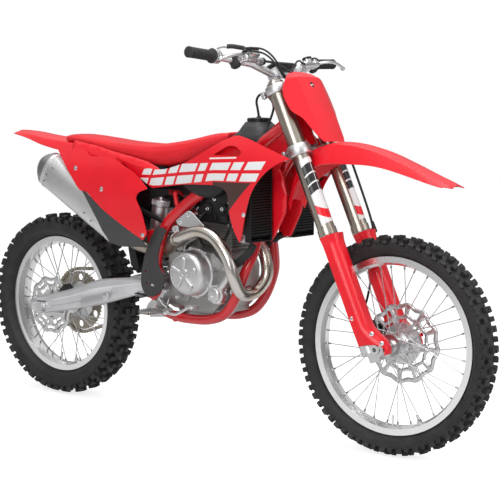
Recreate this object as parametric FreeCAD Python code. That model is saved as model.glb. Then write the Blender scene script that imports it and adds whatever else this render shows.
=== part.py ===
import FreeCAD, Part
import math
import os

# Motocross bike. Working frame while building: x forward from the rear axle,
# y to the left, z up from the ground. Everything is moved to the rider's seat
# point when it is written out. All lengths are millimetres.

V = FreeCAD.Vector
Y_AXIS = V(0, 1, 0)

# Layout
WHEELBASE = 1485.0
FRONT_TYRE_R = 347.0
REAR_TYRE_R = 342.0
RAKE = 24.55
FORK_OFFSET = 56.0
STEER_REST = 3.92
SEAT_POINT = V(510.0, 0.0, 954.0)
REAR_AXLE_Z = REAR_TYRE_R
SEAT_GAP = 0.3

# Where the steering axis meets the ground, and the front axle along it
RAKE_RAD = math.radians(RAKE)
AXIS_FOOT_X = WHEELBASE + FRONT_TYRE_R * math.tan(RAKE_RAD) - FORK_OFFSET / math.cos(RAKE_RAD)
FRONT_AXLE_S = (FRONT_TYRE_R - FORK_OFFSET * math.sin(RAKE_RAD)) / math.cos(RAKE_RAD)

# Wheels
FRONT_RIM_R = FRONT_TYRE_R - 67.0
REAR_RIM_R = REAR_TYRE_R - 87.5
FRONT_RIM_HALF = 26.0
REAR_RIM_HALF = 32.0
FRONT_TYRE_HALF = 43.0
REAR_TYRE_HALF = 59.0
TYRE_WALL = 9.0
BEAD_GAP = 0.5
TREAD_DROP = 14.0
FRONT_LUGS = 28
REAR_LUGS = 26
FRONT_LUG_HEIGHT = 12.0
REAR_LUG_HEIGHT = 15.0
LUG_TAPER = 0.82
STRIP_EDGES = (0.97, 0.68, 0.36, 0.0, -0.36, -0.68, -0.97)
LUG_HALVES = (-1, 0, -1, -1, 0, -1)
RIM_WALL = 4.0
RIM_DEPTH = 15.5
SPOKES = 36
SPOKE_R = 1.8
SPOKE_SWEEP = 60.0
FRONT_AXLE_R = 10.0
REAR_AXLE_R = 12.5
AXLE_PLAY = 0.5
BLOCK_HALF = REAR_AXLE_R + 3.5
FRONT_DISC_R = 130.0
REAR_DISC_R = 110.0
DISC_HALF = 1.75
FRONT_DISC_Y = 54.0
REAR_DISC_Y = -78.0
CALIPER_GAP = 5.0

# Chain drive
CHAIN_PITCH = 15.875
REAR_TEETH = 48
DRIVE_TEETH = 14
CHAIN_Y = 78.0
CHAIN_PLATE_H = 15.0
ROLLER_HALF = 3.2
REAR_RUNS = 13
DRIVE_RUNS = 6
SPROCKET_HALF = 2.9
DRIVE_SHAFT = V(640.0, 0.0, 478.0)

# Swingarm and frame
PIVOT = V(560.0, 0.0, 470.0)
ARM_OUT = 122.0
ARM_IN = 96.0
TUBE_R = 16.0
TUBE_Y = 94.0
PLATE_IN = 101.0
PLATE_OUT = 110.0
PIVOT_BOLT_R = 9.0
LINK_BRACE_R = 14.0

HANGER_OUT = 134.0

# Shock absorber
SHOCK_TOP = V(548.0, 0.0, 762.0)
SHOCK_FOOT = V(456.0, 0.0, 372.0)
SHOCK_EYE_HALF = 17.0
SHOCK_PIN_R = 7.0
SPRING_TURNS = 6

# Engine, radiators and seat
HEAD_HALF = 62.0
CASE_TOP = ((700.0, 616.0), (862.0, 604.0))
CASE_FRONT = ((884.0, 440.0), (892.0, 556.0))
HEAD_FOOT = ((728.0, 698.0), (884.0, 690.5))
RADIATOR_IN = 64.0
RADIATOR_OUT = 162.0
RADIATOR_X = (990.0, 1016.0)

# Fork
LEG_Y = 98.0
LEG_F = 22.0
OUTER_TUBE_R = 28.0
INNER_TUBE_R = 24.0
LUG_R = 28.0
OUTER_TUBE_LOW = 743.0
OUTER_TUBE_TOP = 1262.0
LOW_CLAMP = (1012.0, 1047.0)
TOP_CLAMP = (OUTER_TUBE_TOP - 36.0, OUTER_TUBE_TOP - 8.0)
CLAMP_R = 37.0
STEM_R = 14.0
HEAD_PLAY = 5.0
BAR_R = 12.0
BAR_S = OUTER_TUBE_TOP + 44.0
LEVER_BLOCK_Y = 204.0
PLATE_WALL = 3.0
PLATE_FACE_HALF = 66.0


def on_line(line, x):
    """Height on a sloping straight line at x."""
    (x0, z0), (x1, z1) = line
    return z0 + (z1 - z0) * (x - x0) / (x1 - x0)


def case_front(z):
    """Where the front of the crankcase is at a height."""
    (x0, z0), (x1, z1) = CASE_FRONT
    return x0 + (x1 - x0) * (z - z0) / (z1 - z0)


# Plain shape builders

def box(low, high):
    """Box between two opposite corners."""
    size = V(*high) - V(*low)
    return Part.makeBox(size.x, size.y, size.z, V(*low))


def cyl(start, end, radius):
    """Solid cylinder from one point to another."""
    start = V(*start)
    end = V(*end)
    return Part.makeCylinder(radius, (end - start).Length, start, end - start)


def cone(start, end, r_start, r_end):
    """Solid cone frustum from one point to another."""
    start = V(*start)
    end = V(*end)
    return Part.makeCone(r_start, r_end, (end - start).Length, start, end - start)


def join(shapes):
    """Fuse a list of solids into one shape."""
    shapes = list(shapes)
    if len(shapes) == 1:
        return shapes[0]
    return shapes[0].multiFuse(shapes[1:]).removeSplitter()


def polygon(points):
    """Closed wire through the points."""
    points = [V(*p) for p in points]
    return Part.makePolygon(points + [points[0]])


def side_plate(outline, y_low, y_high):
    """Outline in x and z, standing between two y values."""
    wire = polygon([(x, y_low, z) for x, z in outline])
    return Part.Face(wire).extrude(V(0, y_high - y_low, 0))


def plan_plate(outline, z_low, z_high):
    """Outline in x and y, standing between two heights."""
    wire = polygon([(x, y, z_low) for x, y in outline])
    return Part.Face(wire).extrude(V(0, 0, z_high - z_low))


def front_plate(outline, x_low, x_high):
    """Outline in y and z, standing between two x values."""
    wire = polygon([(x_low, y, z) for y, z in outline])
    return Part.Face(wire).extrude(V(x_high - x_low, 0, 0))


def loft(sections):
    """Straight-sided solid through closed sections with equal point counts."""
    return Part.makeLoft([polygon(s) for s in sections], True, True)


def turned(profile):
    """Solid turned about the y axis from a profile in radius and y."""
    face = Part.Face(polygon([(r, y, 0) for r, y in profile]))
    return face.revolve(V(0, 0, 0), Y_AXIS, 360)


def turned_along(start, way, profile):
    """Solid turned about a line, from a profile in radius and length along it."""
    face = Part.Face(polygon([(r, 0, t) for r, t in profile]))
    solid = face.revolve(V(0, 0, 0), V(0, 0, 1), 360)
    solid.Placement = FreeCAD.Placement(start, FreeCAD.Rotation(V(0, 0, 1), way))
    return solid


def mirrored(shape):
    """The same shape on the other side of the bike."""
    return shape.mirror(V(0, 0, 0), Y_AXIS)


def both_sides(shape):
    """A shape and its mirror image as one compound of solids."""
    return Part.makeCompound([shape, mirrored(shape)])


def moved(shape, offset):
    """A copy of the shape moved by an offset."""
    copy = shape.copy()
    copy.translate(V(*offset))
    return copy


def spun(shape, degrees):
    """A copy of the shape turned about the y axis through the origin."""
    copy = shape.copy()
    copy.rotate(V(0, 0, 0), Y_AXIS, degrees)
    return copy


def rod(points, radius, bend):
    """Round bar along straight runs joined by tangent arcs."""
    points = [V(*p) for p in points]
    edges = []
    start = points[0]
    for before, corner, after in zip(points, points[1:], points[2:]):
        back = before - corner
        ahead = after - corner
        room = 0.45 * min(back.Length, ahead.Length)
        back.normalize()
        ahead.normalize()
        half = back.getAngle(ahead) / 2
        reach = min(bend / math.tan(half), room)
        arc_r = reach * math.tan(half)
        inward = back + ahead
        inward.normalize()
        enter = corner + back * reach
        leave = corner + ahead * reach
        middle = corner + inward * (arc_r / math.sin(half) - arc_r)
        edges.append(Part.LineSegment(start, enter).toShape())
        edges.append(Part.Arc(enter, middle, leave).toShape())
        start = leave
    edges.append(Part.LineSegment(start, points[-1]).toShape())
    path = Part.Wire(edges)
    section = Part.Circle(points[0], points[1] - points[0], radius)
    profile = Part.Wire([section.toShape()])
    return path.makePipeShell([profile], True, False)


def skin(levels, thickness):
    """Upright curved panel: levels are (z, [(x, y), ...]) and it thickens outward."""
    sections = []
    for z, line in levels:
        side = 1 if line[0][1] > 0 else -1
        outer = [(x, y + side * thickness, z) for x, y in reversed(line)]
        sections.append([(x, y, z) for x, y in line] + outer)
    return loft(sections)


# Placing things in the bike

def in_bike(shape):
    """Move a shape from the working frame to the seat point."""
    copy = shape.copy()
    copy.translate(SEAT_POINT * -1)
    return copy


def on_fork(shape):
    """Place a shape built about the steering axis: x forward, z up the axis."""
    tilt = FreeCAD.Rotation(Y_AXIS, -RAKE)
    turn = FreeCAD.Rotation(V(0, 0, 1), STEER_REST)
    foot = V(AXIS_FOOT_X, 0, 0)
    placement = FreeCAD.Placement(foot, tilt * turn)
    copy = shape.copy()
    copy.Placement = placement.multiply(copy.Placement)
    return in_bike(copy)


def on_front_axle(shape):
    """Place a shape built about the front wheel's centre."""
    return on_fork(moved(shape, (FORK_OFFSET, 0, FRONT_AXLE_S)))


def on_rear_axle(shape):
    """Place a shape built about the rear wheel's centre."""
    return in_bike(moved(shape, (0, 0, REAR_AXLE_Z)))


# Wheels

def tyre_section(tread_r, half_width, rim_r, rim_half):
    """Closed carcass section as (radius, y): the edges of the tread strips from left to right,
    then the right wall, bead and lining, and the same back on the left."""
    drop = TREAD_DROP / half_width ** 2
    tread = [(tread_r - drop * (share * half_width) ** 2, share * half_width) for share in STRIP_EDGES]
    bead_r = rim_r - RIM_DEPTH + BEAD_GAP
    bead_y = rim_half - RIM_WALL - BEAD_GAP
    side_r = (rim_r + tread_r) / 2 + 4.0
    side = [(side_r, half_width), (rim_r + 1.0, bead_y), (bead_r, bead_y), (bead_r, bead_y - TYRE_WALL)]
    side += [(side_r, half_width - TYRE_WALL), (tread_r - TYRE_WALL, 0.3 * half_width)]
    return tread + [(r, -y) for r, y in side] + [(r, y) for r, y in reversed(side)]


def lug(base, height):
    """Faces of one tread block: a smaller top and four sloping sides, standing on a facet."""
    middle = (base[0] + base[1] + base[2] + base[3]) * 0.25
    out = (base[1] - base[0]).cross(base[3] - base[0])
    out.normalize()
    if out.x < 0:
        out = out * -1
    top = [middle + (p - middle) * LUG_TAPER + out * height for p in base]
    return [top] + [[base[k], base[(k + 1) % 4], top[(k + 1) % 4], top[k]] for k in range(4)]


def tyre(radius, half_width, rim_r, rim_half, lugs, lug_height, down):
    """Hollow tyre with one flat facet to each lug pitch, and a block on half of every tread
    strip of a facet: the blocks of neighbouring strips stand on opposite halves. A block's
    outermost edge points down, where the tyre stands on the ground."""
    half_turn = math.pi / lugs
    edge_turn = (1 + LUG_TAPER) / 2 * half_turn
    tread_r = radius * math.cos(edge_turn) - lug_height
    section = tyre_section(tread_r, half_width, rim_r, rim_half)
    count = len(section)
    strips = len(LUG_HALVES)

    def corner(k, share):
        r, y = section[k % count]
        return V(r, y, share * r * math.tan(half_turn))

    faces = []
    for k in range(count):
        if k < strips:
            for half in (-1, 0):
                base = [corner(k, half), corner(k + 1, half)]
                base += [corner(k + 1, half + 1), corner(k, half + 1)]
                faces += lug(base, lug_height) if half == LUG_HALVES[k] else [base]
            continue
        rim_line = [corner(k + 1, -1), corner(k + 1, 0), corner(k + 1, 1)]
        back_line = [corner(k, 1), corner(k, 0), corner(k, -1)]
        if (k + 1) % count != 0:
            del rim_line[1]
        if k != strips:
            del back_line[1]
        faces.append(rim_line + back_line)
    pitch = [Part.Face(polygon(face)) for face in faces]
    first = down - math.degrees(edge_turn)
    ring = [spun(face, first + 360.0 * k / lugs) for k in range(lugs) for face in pitch]
    solid = Part.makeSolid(Part.makeShell(ring))
    return solid if solid.Volume > 0 else solid.reversed()


def rim(rim_r, rim_half, hub_y, hub_r):
    """Channel rim with a nipple stub under every spoke."""
    base = rim_r - RIM_DEPTH
    outer = [(rim_r, rim_half), (base - 4.0, rim_half), (base - 12.0, 10.0)]
    outer += [(base - 12.0, -10.0), (base - 4.0, -rim_half), (rim_r, -rim_half)]
    outer += [(rim_r, -rim_half + RIM_WALL), (base, -rim_half + RIM_WALL), (base, -12.0)]
    outer += [(base - 7.0, -7.0), (base - 7.0, 7.0), (base, 12.0)]
    outer += [(base, rim_half - RIM_WALL), (rim_r, rim_half - RIM_WALL)]
    hoop = turned(outer)
    stubs = []
    for start, end in spoke_lines(rim_r, hub_y, hub_r):
        way = end - start
        way.normalize()
        stubs.append(cyl(end - way * 12.0, end + way * 4.0, 3.0))
    return join([hoop] + stubs)


def spoke_lines(rim_r, hub_y, hub_r):
    """Hub and rim ends of every spoke, laced three across."""
    lines = []
    for k in range(SPOKES):
        side = 1 if k % 2 == 0 else -1
        lead = 1 if (k // 2) % 2 == 0 else -1
        rim_at = math.radians(360.0 * k / SPOKES)
        hub_at = rim_at + lead * math.radians(SPOKE_SWEEP)
        flange = side * (hub_y + 5.0 * lead)
        r_end = rim_r - RIM_DEPTH - 12.0
        start = V(hub_r * math.cos(hub_at), flange, hub_r * math.sin(hub_at))
        end = V(r_end * math.cos(rim_at), side * 4.0, r_end * math.sin(rim_at))
        lines.append((start, end))
    return lines


def six_sided(start, end, radius):
    """Thin bar with a six-sided section, for spokes."""
    way = end - start
    across = way.cross(V(0, 1, 0))
    across.normalize()
    other = way.cross(across)
    other.normalize()
    ring = []
    for k in range(6):
        turn = math.radians(60.0 * k)
        ring.append(start + across * (radius * math.cos(turn)) + other * (radius * math.sin(turn)))
    return Part.Face(Part.makePolygon(ring + [ring[0]])).extrude(way)


def laced_hub(profile, bore, rim_r, hub_y, hub_r):
    """Turned hub with its spokes, ending just short of the nipples."""
    body = turned(profile)
    bars = []
    for start, end in spoke_lines(rim_r, hub_y, hub_r):
        way = end - start
        way.normalize()
        bars.append(six_sided(start, end - way * (12.0 + SEAT_GAP), SPOKE_R))
    hub = join([body] + bars)
    return hub.cut(cyl((0, -120, 0), (0, 120, 0), bore))


def wave_disc(radius, inner, y, waves, half=DISC_HALF):
    """Brake disc with a scalloped edge and round relief holes."""
    ring = cyl((0, y - half, 0), (0, y + half, 0), radius)
    ring = ring.cut(cyl((0, y - half - 1, 0), (0, y + half + 1, 0), inner))
    bites = []
    for k in range(waves):
        turn = 2 * math.pi * k / waves
        x = (radius + 22.0) * math.cos(turn)
        z = (radius + 22.0) * math.sin(turn)
        bites.append(cyl((x, y - half - 1, z), (x, y + half + 1, z), 27.0))
    for k in range(2 * waves):
        turn = 2 * math.pi * (k + 0.5) / (2 * waves)
        at = radius - (13.0 if k % 2 == 0 else 22.0)
        x = at * math.cos(turn)
        z = at * math.sin(turn)
        bites.append(cyl((x, y - half - 1, z), (x, y + half + 1, z), 4.0))
    ring = ring.cut(Part.makeCompound(bites))
    arms = []
    for k in range(6):
        turn = 2 * math.pi * k / 6
        x = (inner - 17.0) * math.cos(turn)
        z = (inner - 17.0) * math.sin(turn)
        lug = cyl((x, y - half, z), (x, y + half, z), 9.0)
        reach = box((inner - 17.0, y - half, -6.0), (inner + 4.0, y + half, 6.0))
        lug = lug.fuse(spun(reach, -math.degrees(turn)))
        arms.append(lug.cut(cyl((x, y - half - 1, z), (x, y + half + 1, z), 3.2)))
    return join([ring] + arms)


def front_hub():
    """Front hub: spoke flanges, and six posts for the disc on the left."""
    disc_face = FRONT_DISC_Y - DISC_HALF - SEAT_GAP
    profile = [(8.0, -46.0), (22.0, -46.0), (22.0, -36.0), (38.0, -36.0), (38.0, -20.0)]
    profile += [(21.0, -14.0), (21.0, 14.0), (38.0, 20.0), (38.0, 36.0), (66.0, 42.0)]
    profile += [(66.0, disc_face), (24.0, disc_face), (24.0, 62.0), (8.0, 62.0)]
    return laced_hub(profile, FRONT_AXLE_R + AXLE_PLAY, FRONT_RIM_R, 28.0, 33.0)


def rear_hub():
    """Rear hub: disc carrier on the right and sprocket carrier on the left."""
    disc_face = REAR_DISC_Y + DISC_HALF + SEAT_GAP
    sprocket_face = CHAIN_Y - SPROCKET_HALF - SEAT_GAP
    profile = [(8.0, -84.0), (26.0, -84.0), (26.0, disc_face), (58.0, disc_face)]
    profile += [(58.0, disc_face + 7.0), (44.0, -46.0), (44.0, -28.0), (28.0, -20.0)]
    profile += [(28.0, 20.0), (44.0, 28.0), (44.0, 46.0), (74.0, sprocket_face - 8.0)]
    profile += [(74.0, sprocket_face), (28.0, sprocket_face), (28.0, 88.0), (8.0, 88.0)]
    return laced_hub(profile, REAR_AXLE_R + AXLE_PLAY, REAR_RIM_R, 37.0, 40.0)


def rear_sprocket():
    """Toothed ring bolted to the rear hub."""
    tip = pitch_radius(REAR_TEETH) - CHAIN_PLATE_H / 2 - 0.6
    root = tip - 5.0
    outline = []
    for k in range(REAR_TEETH):
        for share, r in ((0.0, root), (0.32, root), (0.5, tip), (0.68, tip)):
            turn = 2 * math.pi * (k + share) / REAR_TEETH
            outline.append((r * math.cos(turn), r * math.sin(turn)))
    ring = side_plate(outline, CHAIN_Y - SPROCKET_HALF, CHAIN_Y + SPROCKET_HALF)
    ring = ring.cut(cyl((0, 60, 0), (0, 100, 0), 52.0))
    windows = []
    for k in range(6):
        turn = 2 * math.pi * (k + 0.5) / 6
        x = 90.0 * math.cos(turn)
        z = 90.0 * math.sin(turn)
        windows.append(cyl((x, 60, z), (x, 100, z), 13.0))
    return ring.cut(Part.makeCompound(windows))


def front_axle():
    """Hollow front spindle with its spacers and a collar on the right."""
    lug_in = LEG_Y - 22.0
    bar = cyl((0, -122, 0), (0, 124, 0), FRONT_AXLE_R)
    collar = cyl((0, -127, 0), (0, -122.0, 0), 15.0)
    spacers = [cyl((0, -lug_in + SEAT_GAP, 0), (0, -46.0 - AXLE_PLAY, 0), 16.0)]
    spacers.append(cyl((0, 62.0 + AXLE_PLAY, 0), (0, lug_in - SEAT_GAP, 0), 16.0))
    return join([bar, collar] + spacers).cut(cyl((0, -130, 0), (0, -95, 0), 6.5))


def rear_axle():
    """Rear spindle with its spacers, nut and a blind stand bore on the left."""
    bar = cyl((0, -128, 0), (0, 134, 0), REAR_AXLE_R)
    nut = cyl((0, -140, 0), (0, -ARM_OUT - SEAT_GAP, 0), 18.0)
    head = cyl((0, ARM_OUT + SEAT_GAP, 0), (0, 134, 0), 17.0)
    spacers = [cyl((0, -ARM_IN + SEAT_GAP, 0), (0, -84.0 - AXLE_PLAY, 0), 19.0)]
    spacers.append(cyl((0, 88.0 + AXLE_PLAY, 0), (0, ARM_IN - SEAT_GAP, 0), 19.0))
    return join([bar, nut, head] + spacers).cut(cyl((0, 104, 0), (0, 135, 0), 8.5))


# Chassis

def upper_line(side):
    """Centre line of one upper frame tube, from the head tube to the pivot plate."""
    line = [(behind_axis(1045, 6.6), 20, 1045), (1000, 60, 968), (740, 86, 785), (612, 92, 690)]
    line += [(568, TUBE_Y, 570), (562, TUBE_Y, 526)]
    return [(x, side * y, z) for x, y, z in line]


def cradle_line(side):
    """Centre line of one cradle tube, from the down tube under the engine."""
    line = [(972, 22, 706), (968, 38, 650), (952, 80, 560), (915, 84, 465)]
    line += [(846, 80, 381), (775, 76, 361), (650, 78, 359), (586, TUBE_Y, 383), (572, TUBE_Y, 397)]
    return [(x, side * y, z) for x, y, z in line]


def main_tubes(radius):
    """Twin upper tubes, down tube and the cradle under the engine."""
    down = [(behind_axis(985, 10.0), 0, 985), (1045, 0, 885), (974, 0, 712), (972, 0, 694)]
    tubes = [rod(down, radius + 3.0, 120)]
    for side in (-1, 1):
        tubes.append(rod(upper_line(side), radius, 130))
        tubes.append(rod(cradle_line(side), radius, 70))
    return tubes


def frame():
    """Welded frame with head tube, pivot plates and engine stays."""
    head_low = LOW_CLAMP[1] + HEAD_PLAY
    head_top = TOP_CLAMP[0] - HEAD_PLAY
    head = cyl(axis_point(head_low), axis_point(head_top), 30.0)
    plate = [(520, 655), (606, 672), (596, 620), (572, 575), (572, 545), (600, 520)]
    plate += [(602, 480), (588, 440), (560, 412), (532, 425), (505, 455), (505, 515)]
    plate += [(522, 560), (540, 600)]
    plates = [side_plate(plate, y, y + PLATE_OUT - PLATE_IN) for y in (PLATE_IN, -PLATE_OUT)]
    braces = [cyl((640, -90, 359), (640, 90, 359), LINK_BRACE_R)]
    braces.append(cyl((600, -104, 668), (600, 104, 668), 13.0))
    braces.append(cyl((975, -62, 948), (975, 62, 948), 12.0))
    braces.append(cyl((655, -98, 722), (655, 98, 722), 11.0))
    braces.append(cyl((1003, -RADIATOR_IN + SEAT_GAP, 780), (1003, RADIATOR_IN - SEAT_GAP, 780), 8.0))
    mount_x = case_front(470) + 9.0 + SEAT_GAP
    braces.append(cyl((mount_x, -86, 470), (mount_x, 86, 470), 9.0))
    web = [(behind_axis(990, 17.7), 990), (behind_axis(1042, 21.0), 1042)]
    web += [(1010, 975), (1040, 905), (1062, 915)]
    gusset = side_plate(web, -6, 6)
    stays = []
    for side in (-1, 1):
        ear = [(640, 712), (668, 728), (560, 778), (534, 776), (530, 756), (548, 742)]
        inner = SHOCK_EYE_HALF + SEAT_GAP
        low = inner if side > 0 else -inner - 8.0
        stays.append(side_plate(ear, low, low + 8.0))
        stays.append(cyl((752, side * (HEAD_HALF + SEAT_GAP), 790), (752, side * 88, 790), 9.0))
    pin = cyl((SHOCK_TOP.x, -24, SHOCK_TOP.z), (SHOCK_TOP.x, 24, SHOCK_TOP.z), SHOCK_PIN_R)
    body = join(main_tubes(TUBE_R) + [head] + plates + braces + [gusset] + stays + [pin])
    body = body.cut(cyl((PIVOT.x, -130, PIVOT.z), (PIVOT.x, 130, PIVOT.z), PIVOT_BOLT_R + SEAT_GAP))
    return body.cut(cyl(axis_point(head_low - 10), axis_point(head_top + 10), STEM_R + AXLE_PLAY))


def axis_point(s):
    """Point on the steering axis at a length along it."""
    return (AXIS_FOOT_X - s * math.sin(RAKE_RAD), 0.0, s * math.cos(RAKE_RAD))


def behind_axis(z, back):
    """The x of a point some way behind the steering axis at a height."""
    return AXIS_FOOT_X - z * math.tan(RAKE_RAD) - back


def subframe():
    """Bolted tail frame under the seat, with pads for the seat and side panels."""
    parts = []
    for side in (-1, 1):
        top = [(716, side * 84, 790), (704, side * 68, 846), (560, side * 70, 838)]
        top += [(330, side * 74, 872), (60, side * 46, 918)]
        low = [(600, side * 96, 690), (330, side * 78, 770), (150, side * 56, 899)]
        parts.append(rod(top, 10.0, 60))
        parts.append(rod(low, 9.0, 80))
        for x, y, z in ((330, 62, 872), (560, 62, 840)):
            level = seat_floor(x + 8.0) - SEAT_GAP
            parts.append(cyl((x, side * y, z), (x, side * y, level), 8.0))
        reach = panel_face(869) - SEAT_GAP
        parts.append(cyl((400, side * 70, 862), (400, side * reach, 862), 7.0))
    parts.append(cyl((70, -46, 916), (70, 46, 916), 9.0))
    parts.append(cyl((330, -76, 872), (330, 76, 872), 8.0))
    body = join(parts)
    return body.cut(Part.makeCompound(main_tubes(TUBE_R + SEAT_GAP)))


def seat_floor(x):
    """Height of the seat's underside at x."""
    for before, after in zip(SEAT_STATIONS, SEAT_STATIONS[1:]):
        if before[0] <= x <= after[0]:
            return on_line(((before[0], before[2]), (after[0], after[2])), x)
    return SEAT_STATIONS[-1][2]


def panel_face(z):
    """Inner face of a side panel, as a distance from the middle of the bike."""
    for (low, y_low), (high, y_high) in zip(PANEL_LEVELS, PANEL_LEVELS[1:]):
        if low <= z <= high:
            return y_low + (y_high - y_low) * (z - low) / (high - low)
    return PANEL_LEVELS[-1][1]


def swingarm():
    """Cast swingarm: two tapering arms, a bridge and the pivot tube."""
    profile = [(-62, 324), (-62, 360), (-25, 377), (150, 420), (295, 466), (440, 482)]
    profile += [(540, 484), (585, 482), (590, 458), (560, 442), (493, 436), (400, 404)]
    profile += [(294, 374), (120, 336), (-26, 312)]
    plan = [(-70, ARM_IN), (330, ARM_IN), (470, 70), (600, 70), (600, 98), (500, 98)]
    plan += [(360, ARM_OUT), (-70, ARM_OUT)]
    arm = side_plate(profile, 60, 130).common(plan_plate(plan, 250, 520))
    bridge = side_plate([(352, 408), (344, 440), (352, 470), (408, 474), (416, 430), (390, 412)], -100, 100)
    tube = cyl((PIVOT.x, -98, PIVOT.z), (PIVOT.x, 98, PIVOT.z), 27.0)
    body = join([arm, mirrored(arm), bridge, tube])
    low = REAR_AXLE_Z - BLOCK_HALF
    high = REAR_AXLE_Z + BLOCK_HALF
    slots = [box((-32, y, low), (18, y + 40, high)) for y in (90, -130)]
    body = body.cut(Part.makeCompound(slots))
    return body.cut(cyl((PIVOT.x, -130, PIVOT.z), (PIVOT.x, 130, PIVOT.z), PIVOT_BOLT_R + SEAT_GAP))


def axle_blocks():
    """Adjuster blocks that carry the rear spindle in the arm slots."""
    blocks = []
    half = BLOCK_HALF - SEAT_GAP
    for low, high in ((ARM_IN + 1, ARM_OUT - 0.3), (-ARM_OUT + 0.3, -ARM_IN - 1)):
        block = box((-31, low, REAR_AXLE_Z - half), (17, high, REAR_AXLE_Z + half))
        hole = cyl((0, low - 1, REAR_AXLE_Z), (0, high + 1, REAR_AXLE_Z), REAR_AXLE_R + SEAT_GAP)
        blocks.append(block.cut(hole))
    return Part.makeCompound(blocks)


def shock():
    """Shock absorber with its spring and reservoir."""
    way = SHOCK_FOOT - SHOCK_TOP
    way.normalize()
    span = (SHOCK_FOOT - SHOCK_TOP).Length
    eye = SHOCK_EYE_HALF
    profile = [(0, 10), (15, 10), (15, 30), (26, 30), (26, 72), (37, 72), (37, 84)]
    for k in range(SPRING_TURNS):
        t = 96 + 31.0 * k
        profile += [(30, t - 7), (38.5, t - 3), (38.5, t + 3), (30, t + 7)]
    profile += [(31.5, 292), (31.5, 304), (9, 308), (9, span - 8), (0, span - 8)]
    body = [turned_along(SHOCK_TOP, way, profile)]
    body.append(cyl((SHOCK_TOP.x, -eye, SHOCK_TOP.z), (SHOCK_TOP.x, eye, SHOCK_TOP.z), 15.0))
    body.append(cyl((SHOCK_FOOT.x, -eye, SHOCK_FOOT.z), (SHOCK_FOOT.x, eye, SHOCK_FOOT.z), 14.0))
    reservoir = cyl((520, -50, 748), (500, -52, 664), 21.0)
    arm = cyl((536, -18, 722), (516, -44, 726), 11.0)
    body = join(body + [reservoir, arm])
    for end in (SHOCK_TOP, SHOCK_FOOT):
        body = body.cut(cyl((end.x, -40, end.z), (end.x, 40, end.z), SHOCK_PIN_R + SEAT_GAP))
    return body


def linkage():
    """Rocker under the swingarm with its pull rods and pins."""
    ear = [(440, 362), (450, 382), (514, 440), (520, 456), (534, 452), (530, 438)]
    ear += [(486, 352), (466, 336)]
    near = SHOCK_EYE_HALF + SEAT_GAP
    ears = side_plate(ear, near, near + 8.0)
    cross = cyl((524, -70 + SEAT_GAP, 447), (524, 70 - SEAT_GAP, 447), 8.0)
    end_x = 640.0 - LINK_BRACE_R - SEAT_GAP
    pull = [(468, 338), (468, 354), (end_x, 366), (end_x, 352)]
    rods = [side_plate(pull, y, y + 7) for y in (near + 8.0, -near - 15.0)]
    pins = [cyl((478, -near - 15, 346), (478, near + 15, 346), 6.0)]
    ends = [SHOCK_FOOT + V(0, side * (near + 6.0), 0) for side in (-1, 1)]
    pins.append(cyl(*ends, SHOCK_PIN_R))
    return join([ears, mirrored(ears), cross] + rods + pins)


def pivot_bolt():
    """Swingarm pivot bolt through the frame plates and the arm."""
    return cyl((PIVOT.x, -PLATE_OUT, PIVOT.z), (PIVOT.x, PLATE_OUT, PIVOT.z), PIVOT_BOLT_R)


def engine_case():
    """Crankcase with the left and right side bosses."""
    outline = [(594, 545), (606, 500), (640, 408), (719, 386), (830, 392)]
    outline += list(CASE_FRONT) + [CASE_TOP[1], CASE_TOP[0], (652, 582)]
    core = side_plate(outline, -66, 62)
    boss = [(640, 420), (719, 392), (822, 400), (872, 450), (876, 548), (820, 596), (700, 600), (640, 560)]
    right = side_plate(boss, -92, -60)
    left = side_plate([(700, 420), (822, 404), (872, 450), (876, 548), (820, 590), (716, 580)], 58, 84)
    neck = cyl((DRIVE_SHAFT.x, 50, DRIVE_SHAFT.z), (DRIVE_SHAFT.x, 70, DRIVE_SHAFT.z), 26.0)
    shaft = cyl((DRIVE_SHAFT.x, 60, DRIVE_SHAFT.z), (DRIVE_SHAFT.x, 92, DRIVE_SHAFT.z), 12.0)
    drive_r = pitch_radius(DRIVE_TEETH) - ROLLER_HALF - SEAT_GAP
    ends = [DRIVE_SHAFT + V(0, CHAIN_Y + side * SPROCKET_HALF, 0) for side in (-1, 1)]
    return join([core, right, left, neck, shaft, cyl(*ends, drive_r)])


def engine_covers():
    """Clutch cover, water pump and ignition cover."""
    clutch = [cyl((753, -92.3, 528), (753, -120, 528), 84.0)]
    clutch.append(cone((753, -120, 528), (753, -158, 528), 78.0, 70.0))
    clutch.append(cone((753, -158, 528), (753, -170, 528), 70.0, 58.0))
    clutch.append(cyl((753, -168, 528), (753, -176, 528), 14.0))
    for k in range(5):
        blade = box((8, -176, -7), (60, -166, 7))
        blade = spun(blade, 18 + 72.0 * k)
        clutch.append(moved(blade, (753, 0, 528)))
    pump = [cyl((846, -92.3, 462), (846, -118, 462), 33.0)]
    pump.append(cyl((846, -118, 462), (846, -128, 462), 24.0))
    pump.append(cyl((846, -105, 470), (898, -105, 528), 11.0))
    ignition = [cyl((800, 84.3, 500), (800, 104, 500), 60.0), cyl((800, 104, 500), (800, 112, 500), 46.0)]
    return Part.makeCompound([join(clutch + pump), join(ignition)])


def cylinder_barrel():
    """Ribbed barrel between crankcase and head."""
    low = [(x, on_line(CASE_TOP, x) + SEAT_GAP) for x in (738.0, 862.0)]
    high = [(x, on_line(HEAD_FOOT, x) - SEAT_GAP) for x in (872.0, 738.0)]
    barrel = side_plate(low + [(872.0, low[1][1] + 4.0)] + high, -58, 58)
    ribs = []
    for z in (625, 650, 675):
        ribs.append(side_plate([(734, z), (876, z - 4), (876, z + 2), (734, z + 6)], -61, 61))
    return join([barrel] + ribs)


PORT_END = V(900.0, -8.0, 708.0)
PORT_WAY = V(0.894, 0.0, -0.448)
INTAKE_END = V(676.0, 0.0, 770.0)
INTAKE_WAY = V(-0.931, 0.0, 0.364)


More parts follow.
